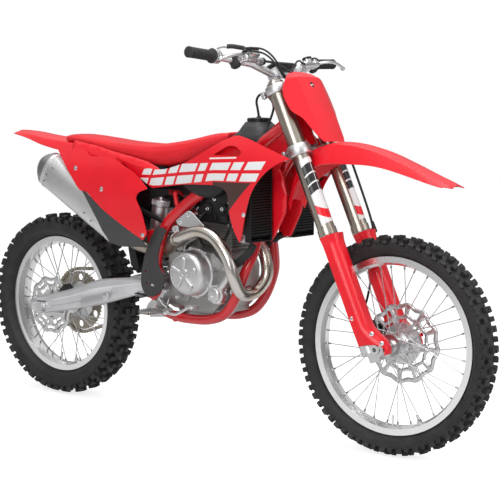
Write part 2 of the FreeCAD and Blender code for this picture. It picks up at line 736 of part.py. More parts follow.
def cylinder_head():
    """Black head and cam cover with the exhaust and intake stubs."""
    half = HEAD_HALF - 2.0
    head = side_plate(list(HEAD_FOOT) + [(894, 740), (866, 792), (744, 796), (716, 742)], -half, half)
    cover = side_plate([(734, 775), (870, 770), (862, 806), (742, 810)], -HEAD_HALF, HEAD_HALF)
    stub = cyl(INTAKE_END - INTAKE_WAY * 50, INTAKE_END, 24.0)
    port = cyl(PORT_END - PORT_WAY * 32, PORT_END, 25.0)
    return join([head, cover, stub, port])


AIRBOX_FRONT = 488.0


def intake():
    """Throttle body and the boot that runs over the shock to the air box."""
    start = INTAKE_END + INTAKE_WAY * SEAT_GAP
    body = [cyl(start, start + INTAKE_WAY * 42, 27.0)]
    duct = [tuple(start + INTAKE_WAY * 40), (598, 0, 816), (AIRBOX_FRONT + SEAT_GAP, 0, 816)]
    body.append(rod(duct, 22.0, 40))
    body.append(moved(box((-14, -36, -15), (14, 36, 15)), (655, 0, 779)))
    return join(body)


def header_points():
    """Centre line of the exhaust header from the port to the silencer."""
    start = PORT_END + PORT_WAY * SEAT_GAP
    inlet = silencer_inlet() - SIL_WAY * SEAT_GAP
    points = [tuple(start), tuple(start + PORT_WAY * 20), (932, -8, 640), (984, -8, 566)]
    points += [(992, -12, 520), (981, -58, 459), (957, -117, 475), (920, -147, 560)]
    points += [(872, -152, 667), (820, -153, 676), (725, -148, 650), (655, -124, 620)]
    points += [(596, -54, 592), (545, -59, 582), tuple(inlet - SIL_WAY * 42), tuple(inlet)]
    return points


def header():
    """Exhaust header pipe with its joint band."""
    pipe_shape = rod(header_points(), 20.5, 62)
    a = V(725, -148, 650)
    b = V(655, -124, 620)
    band = cyl(a + (b - a) * 0.3, a + (b - a) * 0.62, 24.5)
    start = PORT_END + PORT_WAY * SEAT_GAP
    flange = cyl(start, start + PORT_WAY * 7, 30.0)
    return join([pipe_shape, band, flange]).cut(rod(header_points(), 18.0, 62))


SIL_WAY = V(-0.874, 0, 0.487)
SIL_NOSE = V(381.3, -100.0, 659.1)
SIL_LENGTH = 392.0
SIL_TAIL = SIL_NOSE + SIL_WAY * SIL_LENGTH
SIL_NECK = 60.0
SIL_STUB = 14.0
STUB_R = 24.0
OVAL_SIDES = 24


def silencer_inlet():
    """Where the header meets the silencer."""
    return SIL_NOSE - SIL_WAY * (SIL_NECK + SIL_STUB)


def oval(centre, half_w, half_h, way):
    """Closed oval wire around a centre, square to a direction in x and z."""
    rise = V(way.z, 0, -way.x)
    points = []
    for k in range(OVAL_SIDES):
        turn = 2 * math.pi * k / OVAL_SIDES
        c = math.cos(turn)
        s = math.sin(turn)
        wide = half_w * math.copysign(abs(c) ** 0.8, c)
        high = half_h * math.copysign(abs(s) ** 0.8, s)
        points.append(centre + V(0, wide, 0) + rise * high)
    return points


def silencer():
    """Oval silencer body with a tapered tail cap and inlet cone."""
    way = SIL_WAY
    neck = SIL_NOSE - way * SIL_NECK
    tip = SIL_TAIL + way * 46
    front = oval(SIL_NOSE, 45, 62, way)
    taper = loft([oval(neck, 26, 26, way), oval(SIL_NOSE - way * 26, 37, 46, way), front])
    can = loft([front, oval(SIL_TAIL, 46, 67, way)])
    cap = loft([oval(SIL_TAIL, 46.5, 67.5, way), oval(SIL_TAIL + way * 16, 45, 64, way),
                oval(SIL_TAIL + way * 36, 37, 49, way), oval(tip, 29, 34, way)])
    bore = cyl(tip + way * 2, tip - way * 60, 20.0)
    stub = cyl(neck + way * 4, silencer_inlet(), STUB_R)
    return join([taper, can, cap, stub]).cut(bore)


def tank():
    """Fuel tank lying on the upper tubes, with its filler cap."""
    crown = [(786, 918), (838, 952), (858, 1001), (902, 1033), (936, 1046), (979, 1040)]
    crown += [(1014, 1008), (1008, 988), (905, 912), (822, 852)]
    upper = side_plate(crown, -84, 84)
    belly = [(702, 834), (702, 880), (790, 924), (900, 1000), (950, 1000), (948, 975)]
    belly += [(928, 850), (890, 822)]
    lower = side_plate(belly, -44, 44)
    cap = cyl((890, 0, 1018), (884, 0, 1050), 27.0)
    body = join([upper, lower, cap])
    return body.cut(Part.makeCompound(main_tubes(TUBE_R + SEAT_GAP)))


SEAT_STATIONS = [
    (70, 973, 962, 62), (140, 979, 954, 74), (243, 970, 934, 80), (344, 960, 914, 82),
    (443, 955, 896, 82), (515, 954, 884, 80), (587, 961, 880, 76), (679, 975, 900, 70),
    (770, 994, 938, 62), (845, 1006, 972, 54)]


def seat():
    """Long seat with a crowned top, thin over the tank."""
    sections = []
    for x, top, low, half in SEAT_STATIONS:
        sections.append([(x, -half, low), (x, half, low), (x, half, low + 0.35 * (top - low)),
                         (x, 0.86 * half, top - 7), (x, 0.5 * half, top),
                         (x, -0.5 * half, top), (x, -0.86 * half, top - 7),
                         (x, -half, low + 0.35 * (top - low))])
    return loft(sections)


def shroud_line(scale):
    """Plan line of the right shroud, pulled in by a factor."""
    line = [(360, -110), (380, -112), (560, -118), (700, -142), (850, -178), (1000, -198)]
    line += [(1100, -190), (1220, -163)]
    return [(x, y * scale) for x, y in line]


def shroud_right():
    """Right radiator shroud with its upper window."""
    outline = [(377, 911), (490, 879), (609, 867), (748, 899), (845, 939), (927, 979), (981, 997)]
    outline += [(1042, 985), (1118, 958), (1200, 926), (1163, 913), (1115, 880), (1068, 825)]
    outline += [(1043, 760), (1014, 677), (998, 650), (981, 685), (968, 739), (969, 805)]
    outline += [(950, 826), (907, 834), (747, 829), (563, 806)]
    window = [(921, 970), (1000, 955), (1034, 935), (1025, 928), (875, 923)]
    levels = [(630, shroud_line(0.83)), (800, shroud_line(1.0)), (900, shroud_line(1.0))]
    levels.append((1010, shroud_line(0.78)))
    panel = skin(levels, 3.0).common(side_plate(outline, -230, -60))
    return panel.cut(side_plate(window, -230, -60))


PANEL_WALL = 3.0
PANEL_LEVELS = [(590.0, 134.0), (650.0, 151.3), (800.0, 152.0), (870.0, 140.0), (945.0, 106.0)]


def side_panel_right():
    """Right side number panel."""
    outline = [(83, 924), (135, 886), (180, 849), (225, 801), (244, 786), (275, 785), (347, 728)]
    outline += [(433, 683), (545, 626), (568, 652), (550, 715), (516, 772), (531, 793)]
    outline += [(558, 800), (480, 872), (382, 904), (307, 908), (268, 908), (237, 928), (186, 934)]
    levels = [(z, [(60, -y), (600, -y)]) for z, y in PANEL_LEVELS]
    return skin(levels, PANEL_WALL).common(side_plate(outline, -200, -60))


def side_strip():
    """Dark lower strip tucked behind the right side panel."""
    outline = [(250, 788), (346, 738), (432, 693), (540, 638), (548, 602), (437, 596)]
    outline += [(378, 606), (332, 677)]
    behind = PANEL_WALL + SEAT_GAP
    levels = [(z, [(60, -y + behind), (600, -y + behind)]) for z, y in PANEL_LEVELS]
    return skin(levels, PANEL_WALL).common(side_plate(outline, -200, -60))


def airbox():
    """Air box under the seat with its mud flap."""
    top = 872.0 - 8.0 - SEAT_GAP
    core = [(270, 800), (300, top), (352, top), (AIRBOX_FRONT, 840), (AIRBOX_FRONT, 732), (400, 724)]
    core += [(300, 770)]
    flap = [(395, 730), (372, 600), (388, 520), (420, 492), (426, 520), (402, 600), (440, 735)]
    return join([side_plate(core, -48, 48), side_plate(flap, -46, 46)])


def rear_fender():
    """Rear fender: a shallow arch running back from under the seat."""
    sections = []
    stations = [(-262, 984, 980, 26), (-245, 990, 981, 44), (-131, 984, 962, 62), (-38, 972, 940, 76)]
    for x, low, half in ((72, 922, 84), (140, 914, 88)):
        stations.append((x, seat_floor(x) - SEAT_GAP, low, half))
    for x, top, low, half in stations:
        wall = 4.0
        sections.append([(x, -half, low), (x, -0.8 * half, top - 3), (x, -0.3 * half, top),
                         (x, 0.3 * half, top), (x, 0.8 * half, top - 3), (x, half, low),
                         (x, half - wall, low), (x, 0.8 * half - wall, top - 3 - wall),
                         (x, 0.3 * half, top - wall), (x, -0.3 * half, top - wall),
                         (x, -0.8 * half + wall, top - 3 - wall), (x, -half + wall, low)])
    return loft(sections)


def radiators():
    """Two radiator cores with their end tanks and shroud posts."""
    back, front = RADIATOR_X
    inner = RADIATOR_IN
    outer = RADIATOR_OUT
    core = box((back, -outer, 676), (front, -inner, 862))
    tanks = [box((back - 4, -outer - 2, low), (front + 4, -inner + 2, low + 28)) for low in (650, 858)]
    post = cyl((1003, -outer, 812), (1003, -shroud_face(1003) + 1.0, 812), 7.0)
    right = join([core, post] + tanks)
    cap = cyl((1003, -84, 880), (1003, -84, 902), 20.0)
    return Part.makeCompound([join([right, cap]), mirrored(right)])


def radiator_guards():
    """Louvred guards in front of the radiators."""
    near = RADIATOR_X[1] + 4.0 + SEAT_GAP
    far = near + 24.0
    bars = [box((near, -170, 664), (far, -166, 880)), box((near, -62, 664), (far, -58, 880))]
    for k in range(9):
        z = 664 + 25.0 * k
        slat = side_plate([(near, z), (near, z + 3), (far, z + 15), (far, z + 12)], -168, -60)
        bars.append(slat)
    return both_sides(join(bars))


def shroud_face(x):
    """Inner face of a shroud at mid height, as a distance from the middle."""
    line = shroud_line(1.0)
    for (x0, y0), (x1, y1) in zip(line, line[1:]):
        if x0 <= x <= x1:
            return -(y0 + (y1 - y0) * (x - x0) / (x1 - x0))
    return -line[-1][1]


def frame_guards():
    """Grey plastic guards over the pivot plates."""
    outline = [(575, 669), (627, 665), (584, 617), (562, 581), (562, 550), (588, 531), (597, 490)]
    outline += [(587, 454), (559, 427), (535, 429), (501, 457), (502, 510), (517, 546)]
    outline += [(532, 590), (551, 626)]
    inner = PLATE_OUT + SEAT_GAP
    panel = side_plate(outline, -inner - 9, -inner)
    for x, z in ((528, 516), (532, 474), (566, 467)):
        panel = panel.cut(cyl((x, -140, z), (x, -90, z), 6.0))
    return both_sides(panel)


def pitch_radius(teeth):
    """Radius of the circle that the chain's pins follow round a sprocket."""
    return CHAIN_PITCH / (2 * math.sin(math.pi / teeth))


def chain_outline(offset):
    """Closed line round both sprockets at an offset from the pins' line, in x and z. Round each
    sprocket it is a few straight runs of stiff links that touch the circle at their middles."""
    rear = V(0, 0, REAR_AXLE_Z)
    span = DRIVE_SHAFT - rear
    slope = math.atan2(span.z, span.x)
    rear_r = pitch_radius(REAR_TEETH)
    drive_r = pitch_radius(DRIVE_TEETH)
    spread = math.acos((rear_r - drive_r) / span.Length)
    outline = []
    for centre, r, first, sweep, runs in ((rear, rear_r, slope + spread, 2 * (math.pi - spread), REAR_RUNS),
                                          (DRIVE_SHAFT, drive_r, slope - spread, 2 * spread, DRIVE_RUNS)):
        step = sweep / runs
        reach = (r + offset) / math.cos(step / 2)
        for k in range(runs):
            turn = first + (k + 0.5) * step
            outline.append((centre.x + reach * math.cos(turn), centre.z + reach * math.sin(turn)))
    return outline


def chain_band(half_height, y_low, y_high):
    """Band following the chain line."""
    outer = side_plate(chain_outline(half_height), y_low, y_high)
    return outer.cut(side_plate(chain_outline(-half_height), y_low - 1, y_high + 1))


def chain():
    """One loop: outer plate bands and the rollers between them."""
    half = CHAIN_PLATE_H / 2
    bands = [chain_band(half, CHAIN_Y - 8, CHAIN_Y - 4.2), chain_band(half, CHAIN_Y + 4.2, CHAIN_Y + 8)]
    bands.append(chain_band(ROLLER_HALF, CHAIN_Y - 4.2, CHAIN_Y + 4.2))
    return join(bands)


def chain_guide():
    """Guide block under the left arm and the cover over the drive sprocket."""
    cheek = [(172, 250), (186, 322), (262, 340), (280, 306), (266, 272), (204, 244)]
    floor = [(172, 250), (184, 265), (270, 295), (266, 272), (204, 244)]
    block = [side_plate(cheek, 64, 69), side_plate(cheek, 87, 92), side_plate(floor, 64, 92)]
    strut = [(200, 310), (202, arm_floor(202)), (234, arm_floor(234)), (236, 320)]
    block.append(side_plate(strut, 90, 112))
    cover = [(620, 540), (706, 536), (706, 430), (640, 424), (616, 440), (660, 450)]
    cover += [(672, 480), (660, 510)]
    shield = [side_plate(cover, CHAIN_Y + 10.5, CHAIN_Y + 16)]
    for x, z in ((688, 526), (688, 440)):
        shield.append(cyl((x, 62 + SEAT_GAP, z), (x, CHAIN_Y + 12, z), 6.0))
    return Part.makeCompound([join(block), join(shield)])


def arm_floor(x):
    """Height just under the swingarm's arm at x."""
    return on_line(((120, 336), (294, 374)), x) - SEAT_GAP


def footpegs():
    """Footpegs with their brackets, both sides."""
    face = PLATE_OUT + SEAT_GAP
    bracket = [(560, 424), (584, 444), (640, 420), (670, 398), (664, 376), (606, 372)]
    hanger = side_plate(bracket, -HANGER_OUT, -face)
    peg = [box((582, -212, 378), (636, -138, 386)), box((582, -212, 386), (588, -138, 400))]
    peg += [box((630, -212, 386), (636, -138, 400)), box((582, -212, 386), (636, -206, 400))]
    peg += [box((598, -208, 386), (603, -138, 397)), box((615, -208, 386), (620, -138, 397))]
    peg.append(box((596, -140, 374), (630, -130, 404)))
    return both_sides(join([hanger] + peg))


def brake_pedal():
    """Rear brake pedal on the right."""
    arm = rod([(652, -150, 388), (700, -152, 384), (742, -152, 412), (776, -152, 422)], 6.0, 40)
    pivot = cyl((656, -HANGER_OUT - SEAT_GAP, 388), (656, -158, 388), 10.0)
    pad = box((764, -176, 416), (798, -144, 424))
    return join([arm, pivot, pad])


def shift_lever():
    """Gear lever on the left."""
    arm = rod([(724, 108, 440), (760, 124, 410), (806, 128, 424)], 5.5, 40)
    pivot = cyl((724, 84 + SEAT_GAP, 440), (724, 118, 440), 10.0)
    pad = cyl((804, 122, 424), (804, 150, 424), 9.0)
    return join([arm, pivot, pad])


def caliper(inner_r, outer_r, sweep, low, high):
    """Brake caliper block between two y values, centred on +x of the axle."""
    half = math.radians(sweep / 2)
    points = []
    for k in range(5):
        turn = -half + 2 * half * k / 4
        points.append((outer_r * math.cos(turn), outer_r * math.sin(turn)))
    for k in range(5):
        turn = half - 2 * half * k / 4
        points.append((inner_r * math.cos(turn), inner_r * math.sin(turn)))
    return side_plate(points, low, high)


def rear_caliper():
    """Rear caliper and its bracket inside the right arm."""
    block = caliper(62.0, REAR_DISC_R + 16, 44, -ARM_IN + SEAT_GAP, REAR_DISC_Y + 17)
    slot = cyl((0, REAR_DISC_Y - 7, 0), (0, REAR_DISC_Y + 7, 0), REAR_DISC_R + CALIPER_GAP)
    return spun(block.cut(slot), -22)


def front_caliper():
    """Front caliper behind the left fork leg."""
    block = caliper(84.0, FRONT_DISC_R + 18, 38, FRONT_DISC_Y - 16, LEG_Y - LUG_R - SEAT_GAP)
    slot = cyl((0, FRONT_DISC_Y - 7, 0), (0, FRONT_DISC_Y + 7, 0), FRONT_DISC_R + CALIPER_GAP)
    return spun(block.cut(slot), -148)


# Steering group, built about the steering axis

def clamps():
    """Both fork clamps on their stem."""
    parts = [cyl((0, 0, LOW_CLAMP[0]), (0, 0, TOP_CLAMP[1]), STEM_R)]
    for low, high in (LOW_CLAMP, TOP_CLAMP):
        plan = [(-24, -40), (-24, 40), (-6, LEG_Y + 20), (50, LEG_Y + 20), (46, 70), (30, 30)]
        plan += [(30, -30), (46, -70), (50, -LEG_Y - 20), (-6, -LEG_Y - 20)]
        parts.append(plan_plate(plan, low, high))
        for side in (-1, 1):
            parts.append(cyl((LEG_F, side * LEG_Y, low), (LEG_F, side * LEG_Y, high), CLAMP_R))
    body = join(parts)
    for side in (-1, 1):
        ends = [(LEG_F, side * LEG_Y, s) for s in (LOW_CLAMP[0] - 10, TOP_CLAMP[1] + 10)]
        body = body.cut(cyl(*ends, OUTER_TUBE_R + SEAT_GAP))
    posts = [cyl((2, side * 48, TOP_CLAMP[1]), (2, side * 48, BAR_S - 14.0), 15.0) for side in (-1, 1)]
    nut = cyl((0, 0, TOP_CLAMP[1]), (0, 0, TOP_CLAMP[1] + 12), 18.0)
    return join([body] + posts + [nut])


def fork_tubes():
    """Outer fork tubes with their caps."""
    parts = []
    for side in (-1, 1):
        y = side * LEG_Y
        tube = cyl((LEG_F, y, OUTER_TUBE_LOW), (LEG_F, y, OUTER_TUBE_TOP), OUTER_TUBE_R)
        cap = cyl((LEG_F, y, OUTER_TUBE_TOP), (LEG_F, y, OUTER_TUBE_TOP + 10), 20.0)
        ring = cyl((LEG_F, y, OUTER_TUBE_LOW), (LEG_F, y, OUTER_TUBE_LOW + 22), 30.5)
        bore = cyl((LEG_F, y, OUTER_TUBE_LOW - 1), (LEG_F, y, OUTER_TUBE_TOP - 20), INNER_TUBE_R + SEAT_GAP)
        parts.append(join([tube, cap, ring]).cut(bore))
    return Part.makeCompound(parts)


def fork_legs():
    """Inner fork tubes with the axle lugs."""
    parts = []
    for side in (-1, 1):
        y = side * LEG_Y
        tube = cyl((LEG_F, y, 400), (LEG_F, y, 860), INNER_TUBE_R)
        lug = cyl((LEG_F, y, 352), (LEG_F, y, 424), LUG_R)
        ear = box((LEG_F, y - 22, 322), (FORK_OFFSET + 4, y + 22, 392))
        clamp = cyl((FORK_OFFSET, y - 22, FRONT_AXLE_S), (FORK_OFFSET, y + 22, FRONT_AXLE_S), 26.0)
        parts.append(join([tube, lug, ear, clamp]))
    tab = box((-58, LEG_Y - LUG_R, 392), (LEG_F, LEG_Y - 14, 446))
    parts[1] = join([parts[1], tab])
    hole = cyl((FORK_OFFSET, -130, FRONT_AXLE_S), (FORK_OFFSET, 130, FRONT_AXLE_S), FRONT_AXLE_R + SEAT_GAP)
    return Part.makeCompound([p.cut(hole) for p in parts])


def fork_guards():
    """Plastic guards in front of the inner tubes."""
    y = LEG_Y
    shell = cyl((LEG_F, y, 404), (LEG_F, y, 716), 39.0)
    shell = shell.fuse(cone((LEG_F, y, 690), (LEG_F, y, 738), 39.0, 45.0))
    core = cyl((LEG_F, y, 400), (LEG_F, y, 720), 35.0)
    core = core.fuse(cone((LEG_F, y, 689), (LEG_F, y, 740), 35.0, 41.5))
    shell = shell.cut(core)
    shell = shell.cut(box((-40, 40, 390), (10, 160, 750)))
    shell = shell.cut(box((-40, 40, 390), (90, FRONT_DISC_Y + 8, 600)))
    collar = cyl((LEG_F, y, 408), (LEG_F, y, 418), 37.0)
    collar = collar.cut(cyl((LEG_F, y, 400), (LEG_F, y, 430), LUG_R + SEAT_GAP))
    collar = collar.cut(box((-40, 40, 400), (30, 160, 430)))
    boot = box((LEG_F + 4, y - 30, 330), (96, y + 30, 404.5))
    boot = boot.fuse(box((LEG_F + 4, y - 34, 400), (66, y + 34, 424)))
    inner = box((LEG_F, y - 27, 320), (92, y + 27, 398))
    inner = inner.fuse(cyl((LEG_F, y, 300), (LEG_F, y, 460), 35.0))
    boot = boot.cut(inner)
    boot = boot.cut(cyl((FORK_OFFSET, 50, FRONT_AXLE_S), (FORK_OFFSET, 150, FRONT_AXLE_S), 31.0))
    return both_sides(join([shell, boot, collar]))


def front_fender():
    """Front fender bolted under the lower clamp."""
    sections = []
    stations = [(-118, 905, 886, 44), (-40, 978, 958, 58), (58, 1006, 975, 66), (150, 975, 938, 68)]
    stations += [(258, 908, 880, 64), (400, 776, 756, 52), (456, 724, 712, 30)]
    wall = 4.0
    for f, top, low, half in stations:
        sections.append([(f, -half, low), (f, -0.8 * half, top - 6), (f, -0.3 * half, top),
                         (f, 0.3 * half, top), (f, 0.8 * half, top - 6), (f, half, low),
                         (f, half - wall, low), (f, 0.8 * half - wall, top - 6 - wall),
                         (f, 0.3 * half, top - wall), (f, -0.3 * half, top - wall),
                         (f, -0.8 * half + wall, top - 6 - wall), (f, -half + wall, low)])
    boss = box((-14, -34, 984), (44, 34, LOW_CLAMP[0] - SEAT_GAP))
    return join([loft(sections), boss])


def number_plate():
    """Blank front number plate, wrapped round the fork."""
    half = [(60, -234), (76, -210), (104, -137), (130, -117), (136, -67), (130, -37)]
    half += [(103, 0), (60, 23), (0, 29)]
    half = [(y, OUTER_TUBE_TOP + rise) for y, rise in half]
    outline = half + [(-y, s) for y, s in reversed(half[:-1])]
    folds = [(-140, 36), (-PLATE_FACE_HALF, 4), (0, 0), (PLATE_FACE_HALF, 4), (140, 36)]
    sections = []
    for rise, centre in ((-242, 103.0), (-102, 97.0), (38, 90.0)):
        front = [(centre - back, y, OUTER_TUBE_TOP + rise) for y, back in folds]
        sections.append(front + [(f - PLATE_WALL, y, s) for f, y, s in reversed(front)])
    panel = loft(sections).common(front_plate(outline, 40, 130))
    hole_s = OUTER_TUBE_TOP - 34.0
    panel = panel.cut(cyl((60, 0, hole_s), (130, 0, hole_s), 8.0))
    start = LEG_F + CLAMP_R + SEAT_GAP
    peg_s = (TOP_CLAMP[0] + TOP_CLAMP[1]) / 2
    pegs = [cyl((start, side * LEG_Y, peg_s), (78, side * LEG_Y, peg_s), 6.0) for side in (-1, 1)]
    return join([panel] + pegs)


BAR_LINE = [
    (2, 0, BAR_S), (2, 62, BAR_S), (-4, 150, BAR_S + 36), (-42, 262, BAR_S + 72),
    (-40, 405, BAR_S + 79)]


def handlebar():
    """Handlebar with the two blocks that clamp it."""
    left = BAR_LINE[1:]
    right = [(f, -y, s) for f, y, s in reversed(left)]
    bar = rod(right + left, BAR_R, 70)
    low = BAR_S - 14.0 + SEAT_GAP
    clamp = [box((-18, y, low), (22, y + 28, BAR_S + 18)) for y in (-62, 34)]
    return join([bar] + clamp)


def bar_pad():
    """Padded block over the bar clamp."""
    base = BAR_S + 18 + SEAT_GAP
    outline = [(-26, base + 2), (-22, base + 18), (28, base + 18), (32, base - 2), (26, base), (-20, base)]
    return side_plate(outline, -64, 64)


def grip_line(side, near, far):
    """Two points along the straight outer end of the bar."""
    start = V(*BAR_LINE[3])
    end = V(*BAR_LINE[4])
    way = end - start
    way.normalize()
    a = start + way * near
    b = start + way * far
    return (a.x, side * a.y, a.z), (b.x, side * b.y, b.z)


def grips():
    """Both grips and the throttle housing."""
    parts = []
    for side in (-1, 1):
        a, b = grip_line(side, 32, 146)
        outer = cyl(a, b, 17.0)
        flange_a, flange_b = grip_line(side, 28, 33)
        outer = outer.fuse(cyl(flange_a, flange_b, 24.0))
        hole_a, hole_b = grip_line(side, 10, 143.2)
        parts.append(outer.cut(cyl(hole_a, hole_b, BAR_R + SEAT_GAP)))
    a, b = grip_line(-1, 4, 27.7)
    housing = cyl(a, b, 23.0)
    right = [(f, -y, s) for f, y, s in BAR_LINE]
    parts.append(housing.cut(rod(right, BAR_R + SEAT_GAP, 70)))
    return Part.makeCompound(parts)


def lever_set(cylinder_r, cylinder_y):
    """Lever with its perch and master cylinder on the left bar."""
    at = LEVER_BLOCK_Y
    block = box((-34, at - 13, BAR_S + 24), (10, at + 13, BAR_S + 66))
    arm = box((4, at - 8, BAR_S + 36), (24, at + 10, BAR_S + 52))
    tip = (25, at + 146, BAR_S + 28)
    lever = rod([(14, at + 2, BAR_S + 44), (40, at + 58, BAR_S + 40), tip], 5.5, 60)
    cylinder = cyl((18, cylinder_y, BAR_S + 35), (18, at + 10, BAR_S + 44), cylinder_r)
    return [block, arm, lever, Part.makeSphere(8.0, V(*tip)), cylinder]


def brake_lever_set():
    """Front brake lever, master cylinder and reservoir on the right bar."""
    reservoir = box((0, 138, BAR_S + 40), (36, 188, BAR_S + 72))
    body = join(lever_set(11.0, 120) + [reservoir])
    return mirrored(body.cut(rod(BAR_LINE, BAR_R + SEAT_GAP, 70)))


def clutch_lever_set():
    """Clutch lever and its small master cylinder on the left bar."""
    return join(lever_set(10.0, 128)).cut(rod(BAR_LINE, BAR_R + SEAT_GAP, 70))


def brake_hose():
    """Front brake hose clipped down the left fork leg."""
    f = LEG_F - 18
    y = LEG_Y + 31
    hose = rod([(f, y, 1000), (f, y, 700), (f - 34, y - 20, 560), (-66, 58, 480)], 4.0, 60)
    way = V(f - LEG_F, y - LEG_Y, 0)
    way.normalize()
    clip = []
    for s in (960, 800):
        near = V(LEG_F, LEG_Y, s) + way * (OUTER_TUBE_R + SEAT_GAP)
        clip.append(cyl(near, V(f, y, s), 5.0))
    return join([hose] + clip)


# Writing out

def build():
    """All nodes by name."""
    front = (FRONT_TYRE_R, FRONT_TYRE_HALF, FRONT_RIM_R, FRONT_RIM_HALF)
    front += (FRONT_LUGS, FRONT_LUG_HEIGHT, 90.0 + RAKE)
    rear = (REAR_TYRE_R, REAR_TYRE_HALF, REAR_RIM_R, REAR_RIM_HALF)
    rear += (REAR_LUGS, REAR_LUG_HEIGHT, 90.0)
    shroud = shroud_right()
    panel = side_panel_right()
    strip = side_strip()
    nodes = {
        "frame": in_bike(frame()),
        "subframe": in_bike(subframe()),
        "swingarm": in_bike(swingarm()),
        "axle_blocks": in_bike(axle_blocks()),
        "linkage": in_bike(linkage()),
        "pivot_bolt": in_bike(pivot_bolt()),
        "shock": in_bike(shock()),
        "engine_case": in_bike(engine_case()),
        "engine_covers": in_bike(engine_covers()),
        "cylinder_barrel": in_bike(cylinder_barrel()),
        "cylinder_head": in_bike(cylinder_head()),
        "intake": in_bike(intake()),
        "exhaust_header": in_bike(header()),
        "silencer": in_bike(silencer()),
        "fuel_tank": in_bike(tank()),
        "seat": in_bike(seat()),
        "shroud_right": in_bike(shroud),
        "shroud_left": in_bike(mirrored(shroud)),
        "side_panel_right": in_bike(panel),
        "side_panel_left": in_bike(mirrored(panel)),
        "side_strips": in_bike(both_sides(strip)),
        "airbox": in_bike(airbox()),
        "rear_fender": in_bike(rear_fender()),
        "radiators": in_bike(radiators()),
        "radiator_guards": in_bike(radiator_guards()),
        "frame_guards": in_bike(frame_guards()),
        "chain": in_bike(chain()),
        "chain_guide": in_bike(chain_guide()),
        "footpegs": in_bike(footpegs()),
        "brake_pedal": in_bike(brake_pedal()),
        "shift_lever": in_bike(shift_lever()),
        "rear_caliper": on_rear_axle(rear_caliper()),
        "rear_axle": on_rear_axle(rear_axle()),
        "triple_clamps": on_fork(clamps()),
        "fork_tubes": on_fork(fork_tubes()),
        "fork_legs": on_fork(fork_legs()),
        "fork_guards": on_fork(fork_guards()),
        "front_fender": on_fork(front_fender()),
        "number_plate": on_fork(number_plate()),
        "handlebar": on_fork(handlebar()),
        "bar_pad": on_fork(bar_pad()),
        "grips": on_fork(grips()),
        "brake_lever": on_fork(brake_lever_set()),
        "clutch_lever": on_fork(clutch_lever_set()),
        "front_caliper": on_front_axle(front_caliper()),
        "front_axle": on_front_axle(front_axle()),
        "brake_hose": on_fork(brake_hose()),
        "front_tyre": on_front_axle(tyre(*front)),
        "front_rim": on_front_axle(rim(FRONT_RIM_R, FRONT_RIM_HALF, 28.0, 33.0)),
        "front_hub": on_front_axle(front_hub()),
        "front_disc": on_front_axle(wave_disc(FRONT_DISC_R, 76.0, FRONT_DISC_Y, 12)),
        "rear_tyre": on_rear_axle(tyre(*rear)),
        "rear_rim": on_rear_axle(rim(REAR_RIM_R, REAR_RIM_HALF, 37.0, 40.0)),
        "rear_hub": on_rear_axle(rear_hub()),
        "rear_disc": on_rear_axle(wave_disc(REAR_DISC_R, 68.0, REAR_DISC_Y, 10)),
        "rear_sprocket": on_rear_axle(rear_sprocket()),
    }
    return nodes


def report(name, shape):
    """Print what was made, so a wrong piece is seen at once."""
    lump = shape.BoundBox
    state = "ok" if shape.isValid() else "INVALID"
    print(f"{name:18} {state} solids {len(shape.Solids)} volume {shape.Volume / 1000:.1f} cm3",
          f"x {lump.XMin:.0f}..{lump.XMax:.0f} y {lump.YMin:.0f}..{lump.YMax:.0f}",
          f"z {lump.ZMin:.0f}..{lump.ZMax:.0f}")


def main():
    """Build every node and write it to its own file."""
    os.makedirs("parts", exist_ok=True)
    for name, shape in build().items():
        report(name, shape)
        shape.exportStep(f"parts/{name}.step")


main()
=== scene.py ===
# %% [markdown]
# # A motocross bike, dressed step by step
# The solids come from the CAD model and already stand in the right place. This script gives
# them finishes, and swaps the plain ones for shapes with the roundings, knobs, seams and bolts
# of the real bike. Everything below is in metres in the model's own frame, but sizes are typed
# in millimetres measured from the ground under the rear axle, because that is how the bike was
# measured.

# %% Load the frame
import math

import bpy
import bmesh
import numpy as np
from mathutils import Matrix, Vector
from mathutils.geometry import delaunay_2d_cdt


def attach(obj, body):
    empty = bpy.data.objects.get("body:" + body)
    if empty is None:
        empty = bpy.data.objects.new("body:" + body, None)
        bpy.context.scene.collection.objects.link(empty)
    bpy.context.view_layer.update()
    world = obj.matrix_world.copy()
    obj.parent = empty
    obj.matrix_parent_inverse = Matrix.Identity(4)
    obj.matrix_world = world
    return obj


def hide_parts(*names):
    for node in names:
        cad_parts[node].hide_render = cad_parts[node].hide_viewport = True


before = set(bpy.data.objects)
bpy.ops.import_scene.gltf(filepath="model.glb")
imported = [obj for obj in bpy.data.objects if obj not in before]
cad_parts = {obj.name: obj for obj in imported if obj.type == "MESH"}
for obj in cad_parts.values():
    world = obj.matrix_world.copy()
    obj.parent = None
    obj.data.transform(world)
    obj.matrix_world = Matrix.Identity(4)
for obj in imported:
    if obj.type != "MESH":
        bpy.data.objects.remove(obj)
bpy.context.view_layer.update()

# %% [markdown]
# ## Where things are
# Three sets of axes are used. The bike's own: x forward, y to the rider's left, z up. The
# fork's: f forward of the steering axis, y to the left, s along the axis from the ground. The
# wheels' own: the fork's or the bike's, moved to the axle. A shape is made in whichever set is
# easiest and one function carries whole arrays of points into the model's frame.

# %% Axes of the bike, the fork and the wheels
SEAT_POINT = np.array([510.0, 0.0, 954.0])
RAKE = math.radians(24.55)
STEER = math.radians(3.92)
FRONT_R, REAR_R = 347.0, 342.0
FORK_OFFSET = 56.0
AXIS_X = 1485.0 + FRONT_R * math.tan(RAKE) - FORK_OFFSET / math.cos(RAKE)
AXLE_S = (FRONT_R - FORK_OFFSET * math.sin(RAKE)) / math.cos(RAKE)
LEG_Y, LEG_F = 98.0, 22.0
RIGHT, LEFT, UP = (0, -1, 0), (0, 1, 0), (0, 0, 1)
SIDES = {-1: "right", 1: "left"}
FLOOR_Z = -0.9545


